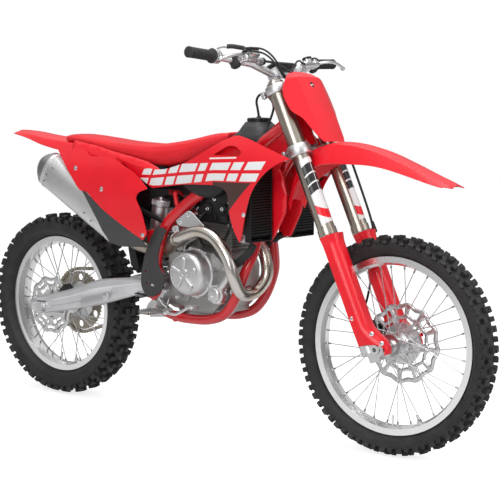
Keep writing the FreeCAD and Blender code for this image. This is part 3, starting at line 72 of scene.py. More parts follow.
def bike(points):
    """Bike millimetres to model metres."""
    return (np.asarray(points, float) - SEAT_POINT) / 1000.0


def fork(points):
    """Fork millimetres (f, y, s): a turn of STEER about the axis, then the lean of RAKE."""
    f, y, s = np.moveaxis(np.asarray(points, float), -1, 0)
    f, y = f * math.cos(STEER) - y * math.sin(STEER), f * math.sin(STEER) + y * math.cos(STEER)
    x = AXIS_X + f * math.cos(RAKE) - s * math.sin(RAKE)
    return bike(np.stack([x, y, s * math.cos(RAKE) + f * math.sin(RAKE)], -1))


def unit(vector):
    """The same direction with length 1."""
    vector = np.asarray(vector, float)
    return vector / np.linalg.norm(vector)


def full_turn(count):
    """Angles evenly round a circle."""
    return np.linspace(0, 2 * np.pi, count, endpoint=False)


def circle(centre, radius, count):
    """Points on a flat circle."""
    turn = full_turn(count)
    return np.asarray(centre, float) + radius * np.stack([np.cos(turn), np.sin(turn)], -1)


def front_wheel(points):
    """Millimetres about the front axle, in the fork's directions."""
    return fork(np.asarray(points, float) + np.array([FORK_OFFSET, 0.0, AXLE_S]))


def rear_wheel(points):
    """Millimetres about the rear axle."""
    return bike(np.asarray(points, float) + np.array([0.0, 0.0, REAR_R]))


print("front axle at", np.round(front_wheel([0, 0, 0]), 3))

# %% [markdown]
# ## Camera
# The camera is the photograph's: in front of the bike on its right side, a little above the
# axles. Its focal length was worked out from the wheelbase and the two wheel sizes.

# %% Camera
camera = bpy.data.objects.new("photo_camera", bpy.data.cameras.new("photo_camera"))
bpy.context.scene.collection.objects.link(camera)
camera.location = (3.350, -3.6062, 0.172)
camera.rotation_euler = Vector((-0.63033, 0.76842, -0.11090)).to_track_quat("-Z", "Y").to_euler()
camera.data.sensor_width = 36.0
camera.data.lens = 100.37
camera.data.clip_end = 60.0
bpy.context.scene.camera = camera
print("camera", tuple(round(v, 3) for v in camera.location))

# %% [markdown]
# ## Shader maths as Python
# A finish is easier to read as a formula than as a cloud of nodes. `Value` wraps one output
# socket, so `1 - mask * 0.5` adds the Math nodes by itself. `Finish.node` adds any other node:
# settings go in before the inputs, because some settings change which inputs there are.

# %% A socket that can be added and multiplied
class Value:
    """One output socket of a node, with arithmetic."""

    def __init__(self, finish, socket):
        self.finish, self.socket = finish, socket

    def math(self, operation, *others):
        return self.finish.node("ShaderNodeMath", {"operation": operation},
                                dict(enumerate((self, *others))))

    def __add__(self, other):
        return self.math("ADD", other)

    def __mul__(self, other):
        return self.math("MULTIPLY", other)

    def __sub__(self, other):
        return self.math("SUBTRACT", other)

    def __rsub__(self, other):
        return (self * -1.0).math("ADD", other)

    def between(self, low, high, blur=0.0008):
        """1 inside the span low..high, fading over blur at each end."""
        return self.step(low, blur) * (1 - self.step(high, blur))

    def step(self, edge, blur=0.0008):
        """0 below edge, 1 above it, smooth over blur."""
        return self.finish.node("ShaderNodeMapRange", {"interpolation_type": "SMOOTHSTEP"},
                                {"Value": self, "From Min": edge - blur, "From Max": edge + blur})

    __radd__ = __add__
    __rmul__ = __mul__


class Finish:
    """A material being built round one Principled shader."""

    def __init__(self, name):
        self.material = bpy.data.materials.new(name)
        self.material.use_nodes = True
        self.tree = self.material.node_tree
        self.tree.nodes.clear()
        self.where = self.node("ShaderNodeTexCoord", out="Object")

    def node(self, kind, settings=None, inputs=None, out=0):
        made = self.tree.nodes.new(kind)
        for key, value in (settings or {}).items():
            if key == "stops":
                ramp = made.color_ramp
                while len(ramp.elements) < len(value):
                    ramp.elements.new(0.5)
                for element, (at, colour) in zip(ramp.elements, value):
                    element.position, element.color = at, (*colour, 1.0)
            else:
                setattr(made, key, value)
        for key, value in (inputs or {}).items():
            if isinstance(value, Value):
                self.tree.links.new(value.socket, made.inputs[key])
            else:
                made.inputs[key].default_value = value
        return Value(self, made.outputs[out])

    def parts(self, vector=None):
        """x, y and z of a vector, the object's own place unless told otherwise."""
        split = self.node("ShaderNodeSeparateXYZ", inputs={0: vector or self.where})
        outputs = split.socket.node.outputs
        return [Value(self, outputs[k]) for k in range(3)]

    def noise(self, scale, detail=3.0, stretch=(1.0, 1.0, 1.0)):
        """Noise with about `scale` bumps a metre, stretched along any axis."""
        where = self.node("ShaderNodeMapping", inputs={"Vector": self.where, "Scale": stretch})
        return self.node("ShaderNodeTexNoise", inputs={"Vector": where, "Scale": scale, "Detail": detail})

    def mix(self, share, first, second):
        """Colour between two colours or sockets."""
        return self.node("ShaderNodeMix", {"data_type": "RGBA"}, {0: share, 6: first, 7: second}, out=2)

    def shade(self, bump=None, strength=0.2, depth=0.001, **inputs):
        """Closes the material: the shader, its bump, and the output."""
        names = {key.replace("_", " ").title(): value for key, value in inputs.items()}
        if "Ior" in names:
            names["IOR"] = names.pop("Ior")
        if bump is not None:
            names["Normal"] = self.node("ShaderNodeBump", inputs={"Strength": strength, "Distance": depth,
                                                                  "Height": bump})
        shader = self.node("ShaderNodeBsdfPrincipled", inputs=names)
        self.node_output(shader)
        return self.material

    def node_output(self, shader):
        output = self.tree.nodes.new("ShaderNodeOutputMaterial")
        self.tree.links.new(shader.socket, output.inputs["Surface"])


print("shader helpers ready")

# %% [markdown]
# ## Plastics, paint and rubber
# Moulded plastic on such a bike is coloured all the way through and polished by the mould, so
# it gets a clear sharp reflection, a very faint waviness, and fine rubbed scratches that only
# show in the gloss. Paint on the frame tubes is the same red under a thicker clear coat.

# %% Colours and plain finishes
RED = (0.86, 0.005, 0.018, 1.0)
WHITE = (0.86, 0.86, 0.87, 1.0)
INK = (0.012, 0.012, 0.014, 1.0)
MOULD_GLOSS = {"coat_roughness": 0.08, "ior": 1.42}
PRINT_BLUR = 0.8
COLOUR_DRIFT = 0.06


def moulded(name, colour, roughness, coat=0.0, grain=0.0):
    """Plastic or paint: colour drifts a little, gloss by rubbed patches, `grain` is texture."""
    m = Finish(name)
    patches = m.noise(9.0, 2.0)
    rubbed = m.noise(90.0, 3.0)
    dark = tuple(c * (1.0 - COLOUR_DRIFT) for c in colour[:3]) + (1.0,)
    light = tuple(min(1.0, c * (1.0 + COLOUR_DRIFT)) for c in colour[:3]) + (1.0,)
    surface = m.mix(patches.step(0.5, 0.3), dark, light)
    rough = rubbed * 0.06 + (roughness - 0.05) + patches * 0.04
    bumps = m.noise(1400.0, 2.0) * grain + rubbed * 0.2
    return m.shade(bump=bumps, strength=0.03 + 0.4 * grain, depth=0.0004, base_color=surface,
                   roughness=rough, coat_weight=coat, **MOULD_GLOSS)


PLASTICS = {
    "red_plastic": (RED, 0.40, {"coat": 0.30}),
    "red_paint": ((0.66, 0.006, 0.014, 1.0), 0.26, {"coat": 0.8}),
    "black_plastic": ((0.010, 0.010, 0.011, 1.0), 0.46, {"grain": 0.5}),
    "grey_plastic": ((0.060, 0.060, 0.062, 1.0), 0.50, {"grain": 0.8}),
    "black_alloy": ((0.012, 0.012, 0.013, 1.0), 0.34, {"grain": 0.4}),
    # A darker red for the shroud window's sunk wall: painted shade in the recess.
    "recess_shade_red": ((0.62, 0.004, 0.012, 1.0), 0.34, {}),
    "black_cap": ((0.015, 0.015, 0.016, 1.0), 0.28, {"grain": 0.2}),
    "seat_cover": ((0.74, 0.014, 0.024, 1.0), 0.44, {"grain": 0.5}),
    "louvre_black": ((0.005, 0.005, 0.005, 1.0), 0.62, {"grain": 0.4}),
    "tank": ((0.030, 0.030, 0.032, 1.0), 0.42, {"grain": 0.7}),
    "guard_grey": ((0.045, 0.045, 0.047, 1.0), 0.52, {"grain": 0.9}),
}
finishes = {name: moulded(name, colour, gloss, **more) for name, (colour, gloss, more) in PLASTICS.items()}
print("plain finishes:", len(finishes))

# %% [markdown]
# ## Rubber
# Tyre rubber is nearly black, but mould release and dust make it greyer in random patches. Its
# side wall carries fine rings left by turning the mould, so the height there follows the
# distance from the axle. Grips and hoses have straight waves along one direction instead.

# %% Rubber finishes
def wheel_radius(m, centre, axis):
    """Distance from a wheel's axle: the part of the vector from its centre across the axis."""
    arm = m.node("ShaderNodeVectorMath", {"operation": "SUBTRACT"}, {0: m.where, 1: tuple(centre)})
    along = m.node("ShaderNodeVectorMath", {"operation": "DOT_PRODUCT"}, {0: arm, 1: tuple(axis)},
                   out="Value")
    length = m.node("ShaderNodeVectorMath", {"operation": "LENGTH"}, {0: arm}, out="Value")
    return (length * length - along * along).math("SQRT")


AXLES = {"front": (front_wheel([0, 0, 0]), front_wheel([0, 1000, 0]) - front_wheel([0, 0, 0])),
         "rear": (rear_wheel([0, 0, 0]), np.array([0.0, 1.0, 0.0]))}


def tyre_rubber(end):
    m = Finish("tyre_rubber_" + end)
    radius = wheel_radius(m, *AXLES[end])
    dust = m.noise(28.0, 6.0)
    rings = (radius * 5200.0).math("SINE") * radius.between(0.290, 0.318, 0.004)
    surface = m.mix(dust.step(0.52, 0.25), (0.008, 0.008, 0.009, 1.0), (0.024, 0.023, 0.022, 1.0))
    bumps = m.noise(900.0, 3.0) * 0.6 + rings * 0.5 + dust * 0.4
    return m.shade(bump=bumps, strength=0.35, depth=0.0008, base_color=surface,
                   roughness=0.46 + dust * 0.24)


def soft_rubber(name, colour, lines, stretch):
    """Rubber with moulded ribs: waves along one stretched direction."""
    m = Finish(name)
    ribs = m.node("ShaderNodeTexWave", {"bands_direction": "Y"},
                  {"Vector": m.node("ShaderNodeMapping", inputs={"Vector": m.where, "Scale": stretch}),
                   "Scale": lines, "Distortion": 0.4}, out="Fac")
    dust = m.noise(40.0, 4.0)
    return m.shade(bump=ribs * 0.7 + m.noise(1100.0) * 0.4, strength=0.5, depth=0.0012,
                   base_color=m.mix(dust, colour, tuple(min(1, c * 2.2) for c in colour)),
                   roughness=0.60 + dust * 0.2)


finishes.update({end + "_tyre_rubber": tyre_rubber(end) for end in AXLES})
finishes["grip_rubber"] = soft_rubber("grip_rubber", (0.014, 0.014, 0.015, 1.0), 60.0, (0.2, 1.0, 0.2))
finishes["hose_rubber"] = soft_rubber("hose_rubber", (0.012, 0.012, 0.013, 1.0), 220.0, (1.0, 1.0, 1.0))
print("rubber finishes ready")

# %% [markdown]
# ## Metals
# One recipe serves every metal, with different grain: cast parts have a coarse, matt skin with
# dull patches, machined ones have fine cutter lines, and drawn tubes have long faint streaks.
# All three are noise stretched along one direction and fed to roughness, colour and bump.

# %% Metal finishes
def metal(name, colour, roughness, streak=(1.0, 1.0, 1.0), lines=300.0, cast=0.0, tint=None):
    """Bare metal: `streak` stretches the grain, `cast` adds sand-cast skin, `tint` a stain."""
    m = Finish(name)
    grain = m.noise(lines, 4.0, streak)
    patches = m.noise(14.0, 5.0)
    dull = tuple(c * 0.80 for c in colour[:3]) + (1.0,)
    surface = m.mix(patches.step(0.5, 0.3) * 0.55 + grain * 0.30, colour, dull)
    if tint:
        surface = m.mix(m.noise(7.0, 3.0).step(0.58, 0.12) * 0.5, surface, tint)
    rough = grain * 0.16 + patches * 0.10 + (roughness - 0.12)
    bumps = m.noise(620.0, 3.0) * cast + grain * 0.5
    return m.shade(bump=bumps, strength=0.08 + 0.34 * cast, depth=0.0006, base_color=surface,
                   metallic=1.0, roughness=rough)


def turned_metal(name, end, colour, roughness, rings, spokes=0.0):
    """Ground or turned metal: fine rings at one distance from an axle, with a few dull patches."""
    m = Finish(name)
    radius = wheel_radius(m, *AXLES[end])
    line = m.node("ShaderNodeTexNoise", {"noise_dimensions": "1D"},
                  {"W": radius * rings, "Scale": 1.0, "Detail": 3.0})
    patches = m.noise(18.0, 4.0)
    dull = tuple(c * 0.72 for c in colour[:3]) + (1.0,)
    surface = m.mix(line * 0.5 + patches * 0.3, colour, dull)
    if spokes:
        surface = m.mix((spokes - radius).step(0.0, 0.001), surface, (0.30, 0.29, 0.28, 1.0))
    return m.shade(bump=line, strength=0.12, depth=0.0004, metallic=1.0, base_color=surface,
                   roughness=line * 0.16 + patches * 0.08 + (roughness - 0.1))


METALS = {
    "alloy": ((0.66, 0.66, 0.68), 0.42, {"cast": 0.8}),
    "arm_alloy": ((0.80, 0.80, 0.82), 0.40, {"streak": (0.12, 1.0, 1.0), "cast": 0.35}),
    "case_alloy": ((0.42, 0.41, 0.40), 0.44, {"cast": 1.0}),
    "cover_alloy": ((0.70, 0.70, 0.71), 0.40, {"cast": 0.6}),
    "machined": ((0.70, 0.70, 0.71), 0.28, {"streak": (1.0, 0.08, 1.0), "lines": 520.0}),
    "bright": ((0.86, 0.86, 0.87), 0.16, {"lines": 700.0}),
    "pipe_steel": ((0.62, 0.59, 0.56), 0.24, {"lines": 260.0, "tint": (0.55, 0.42, 0.30, 1.0)}),
    "stained_steel": ((0.36, 0.32, 0.27), 0.36, {"lines": 260.0, "tint": (0.24, 0.17, 0.11, 1.0)}),
    "can_metal": ((0.80, 0.80, 0.80), 0.46, {"streak": (0.10, 1.0, 0.16), "lines": 640.0}),
    "cap_metal": ((0.40, 0.40, 0.41), 0.36, {"cast": 0.4}),
    "dark_steel": ((0.24, 0.23, 0.22), 0.40, {"lines": 380.0}),
    "chain_steel": ((0.40, 0.36, 0.29), 0.36, {"lines": 420.0}),
}
for name, (rgb, gloss, more) in METALS.items():
    finishes[name] = metal(name, (*rgb, 1.0), gloss, **more)
for end, spoke_radius in (("front", 0.250), ("rear", 0.226)):
    rim_name, disc_name = end + "_rim", end + "_disc"
    finishes[rim_name] = turned_metal(rim_name, end, (0.92, 0.92, 0.93, 1.0), 0.22, 900.0,
                                      spokes=spoke_radius)
    finishes[disc_name] = turned_metal(disc_name, end, (0.72, 0.72, 0.73, 1.0), 0.26, 2600.0)
print("finishes:", len(finishes))

# %% [markdown]
# ## Surfaces from arrays
# Every new shape is a grid of points: rows along it, columns round it. One function turns a
# grid into faces, another collects several grids into one mesh, gives it a finish, and says
# which body carries it. Nothing is placed by moving an object; the points are already right.

# %% Grids to meshes
def grid(points, loop=(False, True), ends=True):
    """Faces of a (rows, columns, 3) grid. `loop` joins the last row or column to the first, and
    `ends` closes the first and last row with one face each."""
    points = np.asarray(points, float)
    rows, columns = points.shape[:2]
    index = np.arange(rows * columns).reshape(rows, columns)
    if loop[0]:
        index = np.vstack([index, index[:1]])
    if loop[1]:
        index = np.hstack([index, index[:, :1]])
    quads = np.stack([index[:-1, :-1], index[:-1, 1:], index[1:, 1:], index[1:, :-1]], -1).reshape(-1, 4)
    faces = quads.tolist()
    if ends and loop[1] and not loop[0]:
        faces += [index[0, :columns][::-1].tolist(), index[-1, :columns].tolist()]
    return points.reshape(-1, 3), faces


def joined(parts):
    """Several (points, faces) pairs as one."""
    points, faces, offset = [], [], 0
    for part_points, part_faces in parts:
        points.append(part_points)
        faces += [[i + offset for i in face] for face in part_faces]
        offset += len(part_points)
    return np.vstack(points), faces


def piece(name, parts, finish, body, slot=None, replaces=(), crease=38.0, wall=0.0, bevel=0.0,
          outward=None):
    """A finished object from grids that are already in model metres."""
    points, faces = joined(parts)
    mesh = bpy.data.meshes.new(name)
    mesh.from_pydata(points.tolist(), [], faces)
    work = bmesh.new()
    work.from_mesh(mesh)
    bmesh.ops.remove_doubles(work, verts=work.verts, dist=1e-6)
    bmesh.ops.recalc_face_normals(work, faces=work.faces)
    work.to_mesh(mesh)
    work.free()
    mesh.shade_smooth()
    mesh.set_sharp_from_angle(angle=math.radians(crease))
    made = bpy.data.objects.new(name, mesh)
    bpy.context.scene.collection.objects.link(made)
    made.data.materials.append(finishes[finish])
    if outward is not None:
        facing = sum((Vector(f.normal) * f.area for f in mesh.polygons), Vector()).dot(Vector(outward))
        if facing < 0:
            mesh.flip_normals()
    if wall:
        thicken = made.modifiers.new("wall", "SOLIDIFY")
        thicken.thickness, thicken.offset = wall / 1000.0, -1.0
    if bevel:
        edge = made.modifiers.new("edge", "BEVEL")
        edge.width, edge.segments, edge.limit_method = bevel / 1000.0, 2, "ANGLE"
        edge.harden_normals = True
    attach(made, body)
    if replaces:
        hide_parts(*replaces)
    return made


def placed(part, place):
    """A (points, faces) pair carried into the model's frame."""
    return place(part[0]), part[1]


def on_bike(name, parts, finish, slot=None, replaces=(), **more):
    """A piece of the chassis from parts in bike millimetres."""
    return piece(name, [placed(p, bike) for p in parts], finish, "chassis", slot, replaces, **more)


def on_fork(name, parts, finish, slot=None, replaces=(), **more):
    """A piece of the steering from parts in fork millimetres."""
    return piece(name, [placed(p, fork) for p in parts], finish, "steering", slot, replaces, **more)


print("grid helpers ready")

# %% [markdown]
# ## Curves and rounded bodies
# A handful of shape formulas cover the bike: a spline through measured points, a tube round a
# path, a profile turned about a line, and a body lofted through cross sections.

# %% Shape formulas
def spline(points, count):
    """Smooth curve through the points: each span is the cubic whose end slopes are half the
    step between the neighbours on either side (Catmull and Rom's rule). Works on whole rows."""
    p = np.asarray(points, float)
    p = np.concatenate([2 * p[:1] - p[1:2], p, 2 * p[-1:] - p[-2:-1]])
    t = np.linspace(0, len(p) - 3 - 1e-9, count)
    k = t.astype(int)
    t = (t - k).reshape(-1, *([1] * (p.ndim - 1)))
    a, b, c, d = p[k], p[k + 1], p[k + 2], p[k + 3]
    return 0.5 * (2 * b + (c - a) * t + (2 * a - 5 * b + 4 * c - d) * t ** 2 +
                  (3 * b - a - 3 * c + d) * t ** 3)


def directions(path):
    """Unit tangents of a path, and two normals carried along it by projecting the last ones."""
    path = np.asarray(path, float)
    along = np.gradient(path, axis=0)
    along /= np.linalg.norm(along, axis=1, keepdims=True)
    side = np.cross(along[0], [0.31, 0.52, 0.79])
    sides = []
    for tangent in along:
        side = unit(side - tangent * (side @ tangent))
        sides.append(side)
    sides = np.array(sides)
    return along, sides, np.cross(along, sides)


def tube(path, radius, sides=14):
    """Circle of `radius` (one number or one per point) carried along the path."""
    path = np.asarray(path, float)
    along, one, two = directions(path)
    turn = full_turn(sides)
    radius = np.broadcast_to(np.asarray(radius, float), (len(path),))[:, None, None]
    ring = one[:, None] * np.cos(turn)[:, None] + two[:, None] * np.sin(turn)[:, None]
    return grid(path[:, None] + radius * ring)


def spun(start, way, profile, sides=24, loop=False):
    """A profile of (radius, length) pairs turned about the line from start along way."""
    start, way = np.asarray(start, float), unit(way)
    one = unit(np.cross(way, [0.2, 0.7, 0.5]))
    two = np.cross(way, one)
    r, t = np.asarray(profile, float).T
    turn = full_turn(sides)[:, None]
    ring = one * np.cos(turn) + two * np.sin(turn)
    return grid(start + way * t[:, None, None] + r[:, None, None] * ring, loop=(loop, True), ends=not loop)


def rounded(half_w, half_h, power=4.0, count=24):
    """Superellipse: |x/w|^p + |y/h|^p = 1, a rectangle with rounded corners for p above 2."""
    turn = full_turn(count)
    c, s = np.cos(turn), np.sin(turn)
    return np.stack([half_w * np.sign(c) * np.abs(c) ** (2 / power),
                     half_h * np.sign(s) * np.abs(s) ** (2 / power)], -1)


def brick(low, high, edge=2.0):
    """Box between two corners with chamfered edges: four rings, each a rounded rectangle."""
    low, high = np.asarray(low, float), np.asarray(high, float)
    middle, half = (low + high) / 2, (high - low) / 2
    rows = []
    for level, inset in ((-1, 1), (-1, 0), (1, 0), (1, 1)):
        w, d = half[0] - edge * inset, half[1] - edge * inset
        z = level * (half[2] - (edge if inset == 0 else 0))
        e = min(edge, w * 0.6, d * 0.6)
        rows.append([(w, d - e), (w - e, d), (e - w, d), (-w, d - e), (-w, e - d), (e - w, -d),
                     (w - e, -d), (w, e - d)])
        rows[-1] = [(x, y, z) for x, y in rows[-1]]
    return grid(np.array(rows) + middle)


def mirrored(part):
    """The same part on the other side of the bike."""
    return part[0] * np.array([1.0, -1.0, 1.0]), [face[::-1] for face in part[1]]


def both_sides(parts):
    """Every part, each followed by its mirror image."""
    return [p for part in parts for p in (part, mirrored(part))]


def bolts(spots, way, radius=5.0, height=4.0, washer=0.0):
    """Hexagon heads with a domed top: six-sided rings at every spot, looking along way."""
    made, out = [], unit(way)
    for spot in spots:
        start = np.asarray(spot, float)
        if washer:
            made.append(spun(start - out, way, [(washer, 0), (washer, 1.4), (washer * 0.92, 1.8)], 18))
            start = start + out * 0.6
        made.append(spun(start - out, way, [(radius, 0), (radius, height),
                                            (radius * 0.86, height + 1.0)], 6))
        made.append(spun(start, way, [(radius * 0.5, height), (radius * 0.42, height + 1.6)], 12))
    return made


print("shape formulas ready")

# %% [markdown]
# ## Light and floor
# The photograph is a studio cut-out: white all round, but with deep blacks and hard contrast in
# the metal. So the world is white only to the camera. Reflections see a bright ceiling over
# dark walls, which draws light and dark bands along every pipe, and plastic keeps its colour.
# Three large soft lamps do the lighting: overhead, from the camera's left and from the right.

# %% Studio
world = bpy.data.worlds.new("studio")
bpy.context.scene.world = world
world.use_nodes = True
world.node_tree.nodes.clear()


class WorldNodes(Finish):
    """The same node methods, on the world's tree."""

    def __init__(self, tree):
        self.tree = tree


air = WorldNodes(world.node_tree)
camera_ray = air.node("ShaderNodeLightPath", out="Is Camera Ray")
glossy_ray = Value(air, camera_ray.socket.node.outputs["Is Glossy Ray"])
direction = air.node("ShaderNodeTexCoord", out="Generated")
height = air.parts(direction)[2]
walls = height.step(0.42, 0.16) * 0.56 + 0.26
diffuse_ray = (1 - camera_ray) * (1 - glossy_ray)
strength = camera_ray + glossy_ray * walls + diffuse_ray * 0.40
background = air.node("ShaderNodeBackground", inputs={"Color": (1.0, 1.0, 1.0, 1.0), "Strength": strength})
sky_output = world.node_tree.nodes.new("ShaderNodeOutputWorld")
world.node_tree.links.new(background.socket, sky_output.inputs["Surface"])


def lamp(name, place, aim, size, power):
    """Square area lamp looking at a point."""
    light = bpy.data.lights.new(name, "AREA")
    light.shape, light.size, light.energy = "SQUARE", size, power
    made = bpy.data.objects.new(name, light)
    made.location = place
    made.rotation_euler = (Vector(aim) - Vector(place)).to_track_quat("-Z", "Y").to_euler()
    bpy.context.scene.collection.objects.link(made)


lamp("overhead", (0.6, -0.3, 2.9), (0.4, 0.0, -0.3), 3.0, 88.0)
lamp("camera_side", (2.0, -4.2, 1.5), (0.4, 0.0, -0.4), 2.2, 84.0)
lamp("right_fill", (4.4, 0.8, 1.0), (0.5, 0.0, -0.4), 2.0, 34.0)

floor_mesh = bpy.data.meshes.new("floor")
floor_points, floor_faces = grid(np.array([[(x, y, FLOOR_Z) for y in (-14.0, 14.0)]
                                           for x in (-14.0, 14.0)]), loop=(False, False))
floor_mesh.from_pydata(floor_points.tolist(), [], floor_faces)
floor = bpy.data.objects.new("floor", floor_mesh)
bpy.context.scene.collection.objects.link(floor)
paper = Finish("floor_paper")
paper_ray = paper.node("ShaderNodeLightPath", out="Is Camera Ray")
paper_seen = paper_ray + Value(paper, paper_ray.socket.node.outputs["Is Glossy Ray"]) * 0.35
paper_base = paper.node("ShaderNodeBsdfDiffuse", inputs={"Color": (0.62, 0.62, 0.62, 1.0)})
paper_glow = paper.node("ShaderNodeEmission",
                        inputs={"Color": (1.0, 1.0, 1.0, 1.0), "Strength": paper_seen * 0.76})
paper.node_output(paper.node("ShaderNodeAddShader", inputs={0: paper_base, 1: paper_glow}))
floor_mesh.materials.append(paper.material)
bpy.context.scene.view_settings.view_transform = "Standard"
print("lamps and floor ready")

# %% [markdown]
# ## Finishes for the solids
# Most of the CAD solids already have the right shape, so they only need the right finish. The
# table below says which. The fork tubes get a printed finish of their own further down, and
# pieces that replace a solid bring theirs.

# %% Dress the CAD nodes
NODES_OF = {
    "red_paint": "frame",
    "black_alloy": "subframe cylinder_head rear_caliper front_caliper",
    "arm_alloy": "swingarm triple_clamps handlebar",
    "machined": "axle_blocks pivot_bolt rear_axle brake_lever clutch_lever front_axle front_hub rear_hub",
    "cover_alloy": "linkage engine_covers brake_pedal shift_lever fork_legs",
    "can_metal": "shock silencer",
    "case_alloy": "engine_case",
    "dark_steel": "cylinder_barrel",
    "black_plastic": "intake fuel_tank airbox radiator_guards chain_guide bar_pad",
    "pipe_steel": "exhaust_header",
    "red_plastic": "seat shroud_right shroud_left side_panel_right side_panel_left rear_fender "
                   "fork_guards front_fender number_plate",
    "grey_plastic": "side_strips frame_guards",
    "alloy": "radiators footpegs",
    "chain_steel": "chain rear_sprocket",
    "grip_rubber": "grips",
    "hose_rubber": "brake_hose",
    "front_tyre_rubber": "front_tyre",
    "front_rim": "front_rim",
    "front_disc": "front_disc",
    "rear_tyre_rubber": "rear_tyre",
    "rear_rim": "rear_rim",
    "rear_disc": "rear_disc",
}
for finish, nodes in NODES_OF.items():
    for node in nodes.split():
        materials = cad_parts[node].data.materials
        materials.clear()
        materials.append(finishes[finish])
print("dressed", sum(len(nodes.split()) for nodes in NODES_OF.values()), "nodes")

# %% [markdown]
# ## Tyres
# An off-road tyre is a rounded carcass with separate rubber blocks: pairs down the middle,
# pairs between, and big shoulder blocks that bite in corners. The carcass is one profile
# turned about the axle. A block is four rings of eight points, narrower at the top, and all
# blocks of a tyre are made at once by carrying those rings to a list of places round it.

# %% Knobbly tyres
CARCASS_STEPS = 144


def carcass(radius, half, rim_r, rim_half, depth, crown):
    """Closed tyre section (radius, y) turned about the axle: bead, wall, tread base and lining."""
    side_r = rim_r + 0.50 * (radius - rim_r)
    y = np.array([half - 1.0, 0.85 * half, 0.62 * half, 0.36 * half, 0.0])
    tread = np.stack([radius - depth - crown * y ** 2, y], -1)
    outer = [(rim_r - 12.0, rim_half - 5.0), (rim_r + 1.5, rim_half - 4.6), (rim_r + 5.0, rim_half + 0.5),
             (rim_r + 0.24 * (radius - rim_r), half - 3.5), (side_r, half - 0.4), (side_r + 6, half - 0.3)]
    half_line = np.vstack([spline(outer, 14), tread])
    inner = [(radius - depth - 8, 0.0), (radius - depth - 16, half - 16), (side_r, half - 9),
             (rim_r + 6, rim_half - 9)]
    loop = np.vstack([half_line, (half_line * (1, -1))[-2::-1], np.array(inner)[::-1] * (1, -1),
                      inner[1:]])
    turn = full_turn(CARCASS_STEPS)[:, None]
    r, y = loop[:, 0], loop[:, 1]
    return np.stack([r * np.cos(turn), np.broadcast_to(y, (CARCASS_STEPS, len(y))), r * np.sin(turn)], -1)


def blocks(radius, depth, crown, rows):
    """Tread blocks. A row is (phase, count, y, length, width, lean); lean tips the block about
    the tread line, beyond the slope of the crown there."""
    made = []
    for phase, count, y0, length, width, lean in rows:
        turn = 2 * np.pi * (np.arange(count) + phase) / count
        slope = np.arctan(2 * crown * y0) + math.radians(lean) * np.sign(y0)
        foot = radius - depth - crown * y0 ** 2 - 3.0
        rings = []
        for high, shrink in ((0.0, 1.12), (depth * 0.55, 1.04), (depth + 1.6, 1.0), (depth + 3.0, 0.86)):
            l, w = length / 2 * shrink, width / 2 * shrink
            e = 0.22 * min(l, w)
            rings.append([(a, b, high) for a, b in ((l, w - e), (l - e, w), (e - l, w), (-l, w - e),
                                                    (-l, e - w), (e - l, -w), (l - e, -w), (l, e - w))])
        a, b, high = np.moveaxis(np.array(rings), -1, 0)
        r = foot + high * math.cos(slope) - b * math.sin(slope)
        y = y0 + high * math.sin(slope) + b * math.cos(slope)
        for angle in turn:
            c, s = math.cos(angle), math.sin(angle)
            made.append(grid(np.stack([r * c - a * s, y, r * s + a * c], -1)))
    return made


def tyre(end, radius, half, rim_r, rim_half, depth, crown, rows, place, body):
    """Carcass and blocks of one wheel, standing for its CAD solid."""
    parts = [placed(grid(carcass(radius, half, rim_r, rim_half, depth, crown), loop=(True, True)), place)]
    parts += [placed(block, place) for block in blocks(radius, depth, crown, rows)]
    made = piece(end + "_knobbly_tyre", parts, end + "_tyre_rubber", body, "tyre_rubber",
                 [end + "_tyre"], crease=32)
    print(end, "tyre:", sum(r[1] for r in rows), "blocks,", len(made.data.polygons), "faces")


def both_rows(*rows):
    """Each row and its mirror image on the other side of the tyre."""
    return [(phase, count, side * y, *rest) for phase, count, y, *rest in rows for side in (1, -1)]


front_rows = both_rows((0.0, 34, 8.5, 17, 12, 0), (0.5, 34, 21.5, 16, 14, 0), (0.0, 34, 34.5, 20, 12, 14),
                       (0.5, 34, 37.5, 15, 9, 24))
rear_rows = both_rows((0.0, 28, 11.5, 21, 18, 0), (0.5, 28, 31.0, 20, 19, 0), (0.0, 28, 49.0, 25, 14, 12),
                      (0.5, 28, 51.5, 17, 10, 20))
tyre("front", FRONT_R, 43.0, 280.0, 26.0, 13.0, 0.0092, front_rows, front_wheel, "front_wheel")
tyre("rear", REAR_R, 59.0, 254.5, 32.0, 15.5, 0.0050, rear_rows, rear_wheel, "rear_wheel")

# %% [markdown]
# ## Sheets cut to an outline
# The body panels are thin curved sheets with a drawn outline, some with a window. The outline
# is a handful of points with rounded corners. Triangles fill it on an even spacing, and then
# every point is pushed out sideways by a formula, so the sheet curves and its edge stays exact.
# A crease is a line that the triangles have to follow.

# %% Outlines and cut sheets
def eased(points, radius=10.0, closed=True, steps=5):
    """Corners replaced by parabolas that start `radius` before and end `radius` after them."""
    p = np.asarray(points, float)
    radius = np.broadcast_to(np.asarray(radius, float), (len(p),))
    before, after = np.roll(p, 1, 0), np.roll(p, -1, 0)
    t = np.linspace(0, 1, steps)[:, None]
    out = []
    for k, corner in enumerate(p):
        if radius[k] == 0 or (not closed and k in (0, len(p) - 1)):
            out.append(corner[None])
            continue
        a, b = before[k] - corner, after[k] - corner
        long_a, long_b = np.linalg.norm(a), np.linalg.norm(b)
        r = min(radius[k], 0.48 * long_a, 0.48 * long_b)
        start, end = corner + a / long_a * r, corner + b / long_b * r
        out.append((1 - t) ** 2 * start + 2 * t * (1 - t) * corner + t ** 2 * end)
    return np.vstack(out)


def divided(points, spacing, closed=True):
    """The same line with points no further apart than spacing."""
    p = np.asarray(points, float)
    ends = np.vstack([p[1:], p[:1]]) if closed else p[1:]
    out = [np.linspace(a, b, max(1, math.ceil(np.linalg.norm(b - a) / spacing)), endpoint=False)
           for a, b in zip(p, ends)]
    return np.vstack(out if closed else out + [p[-1:]])


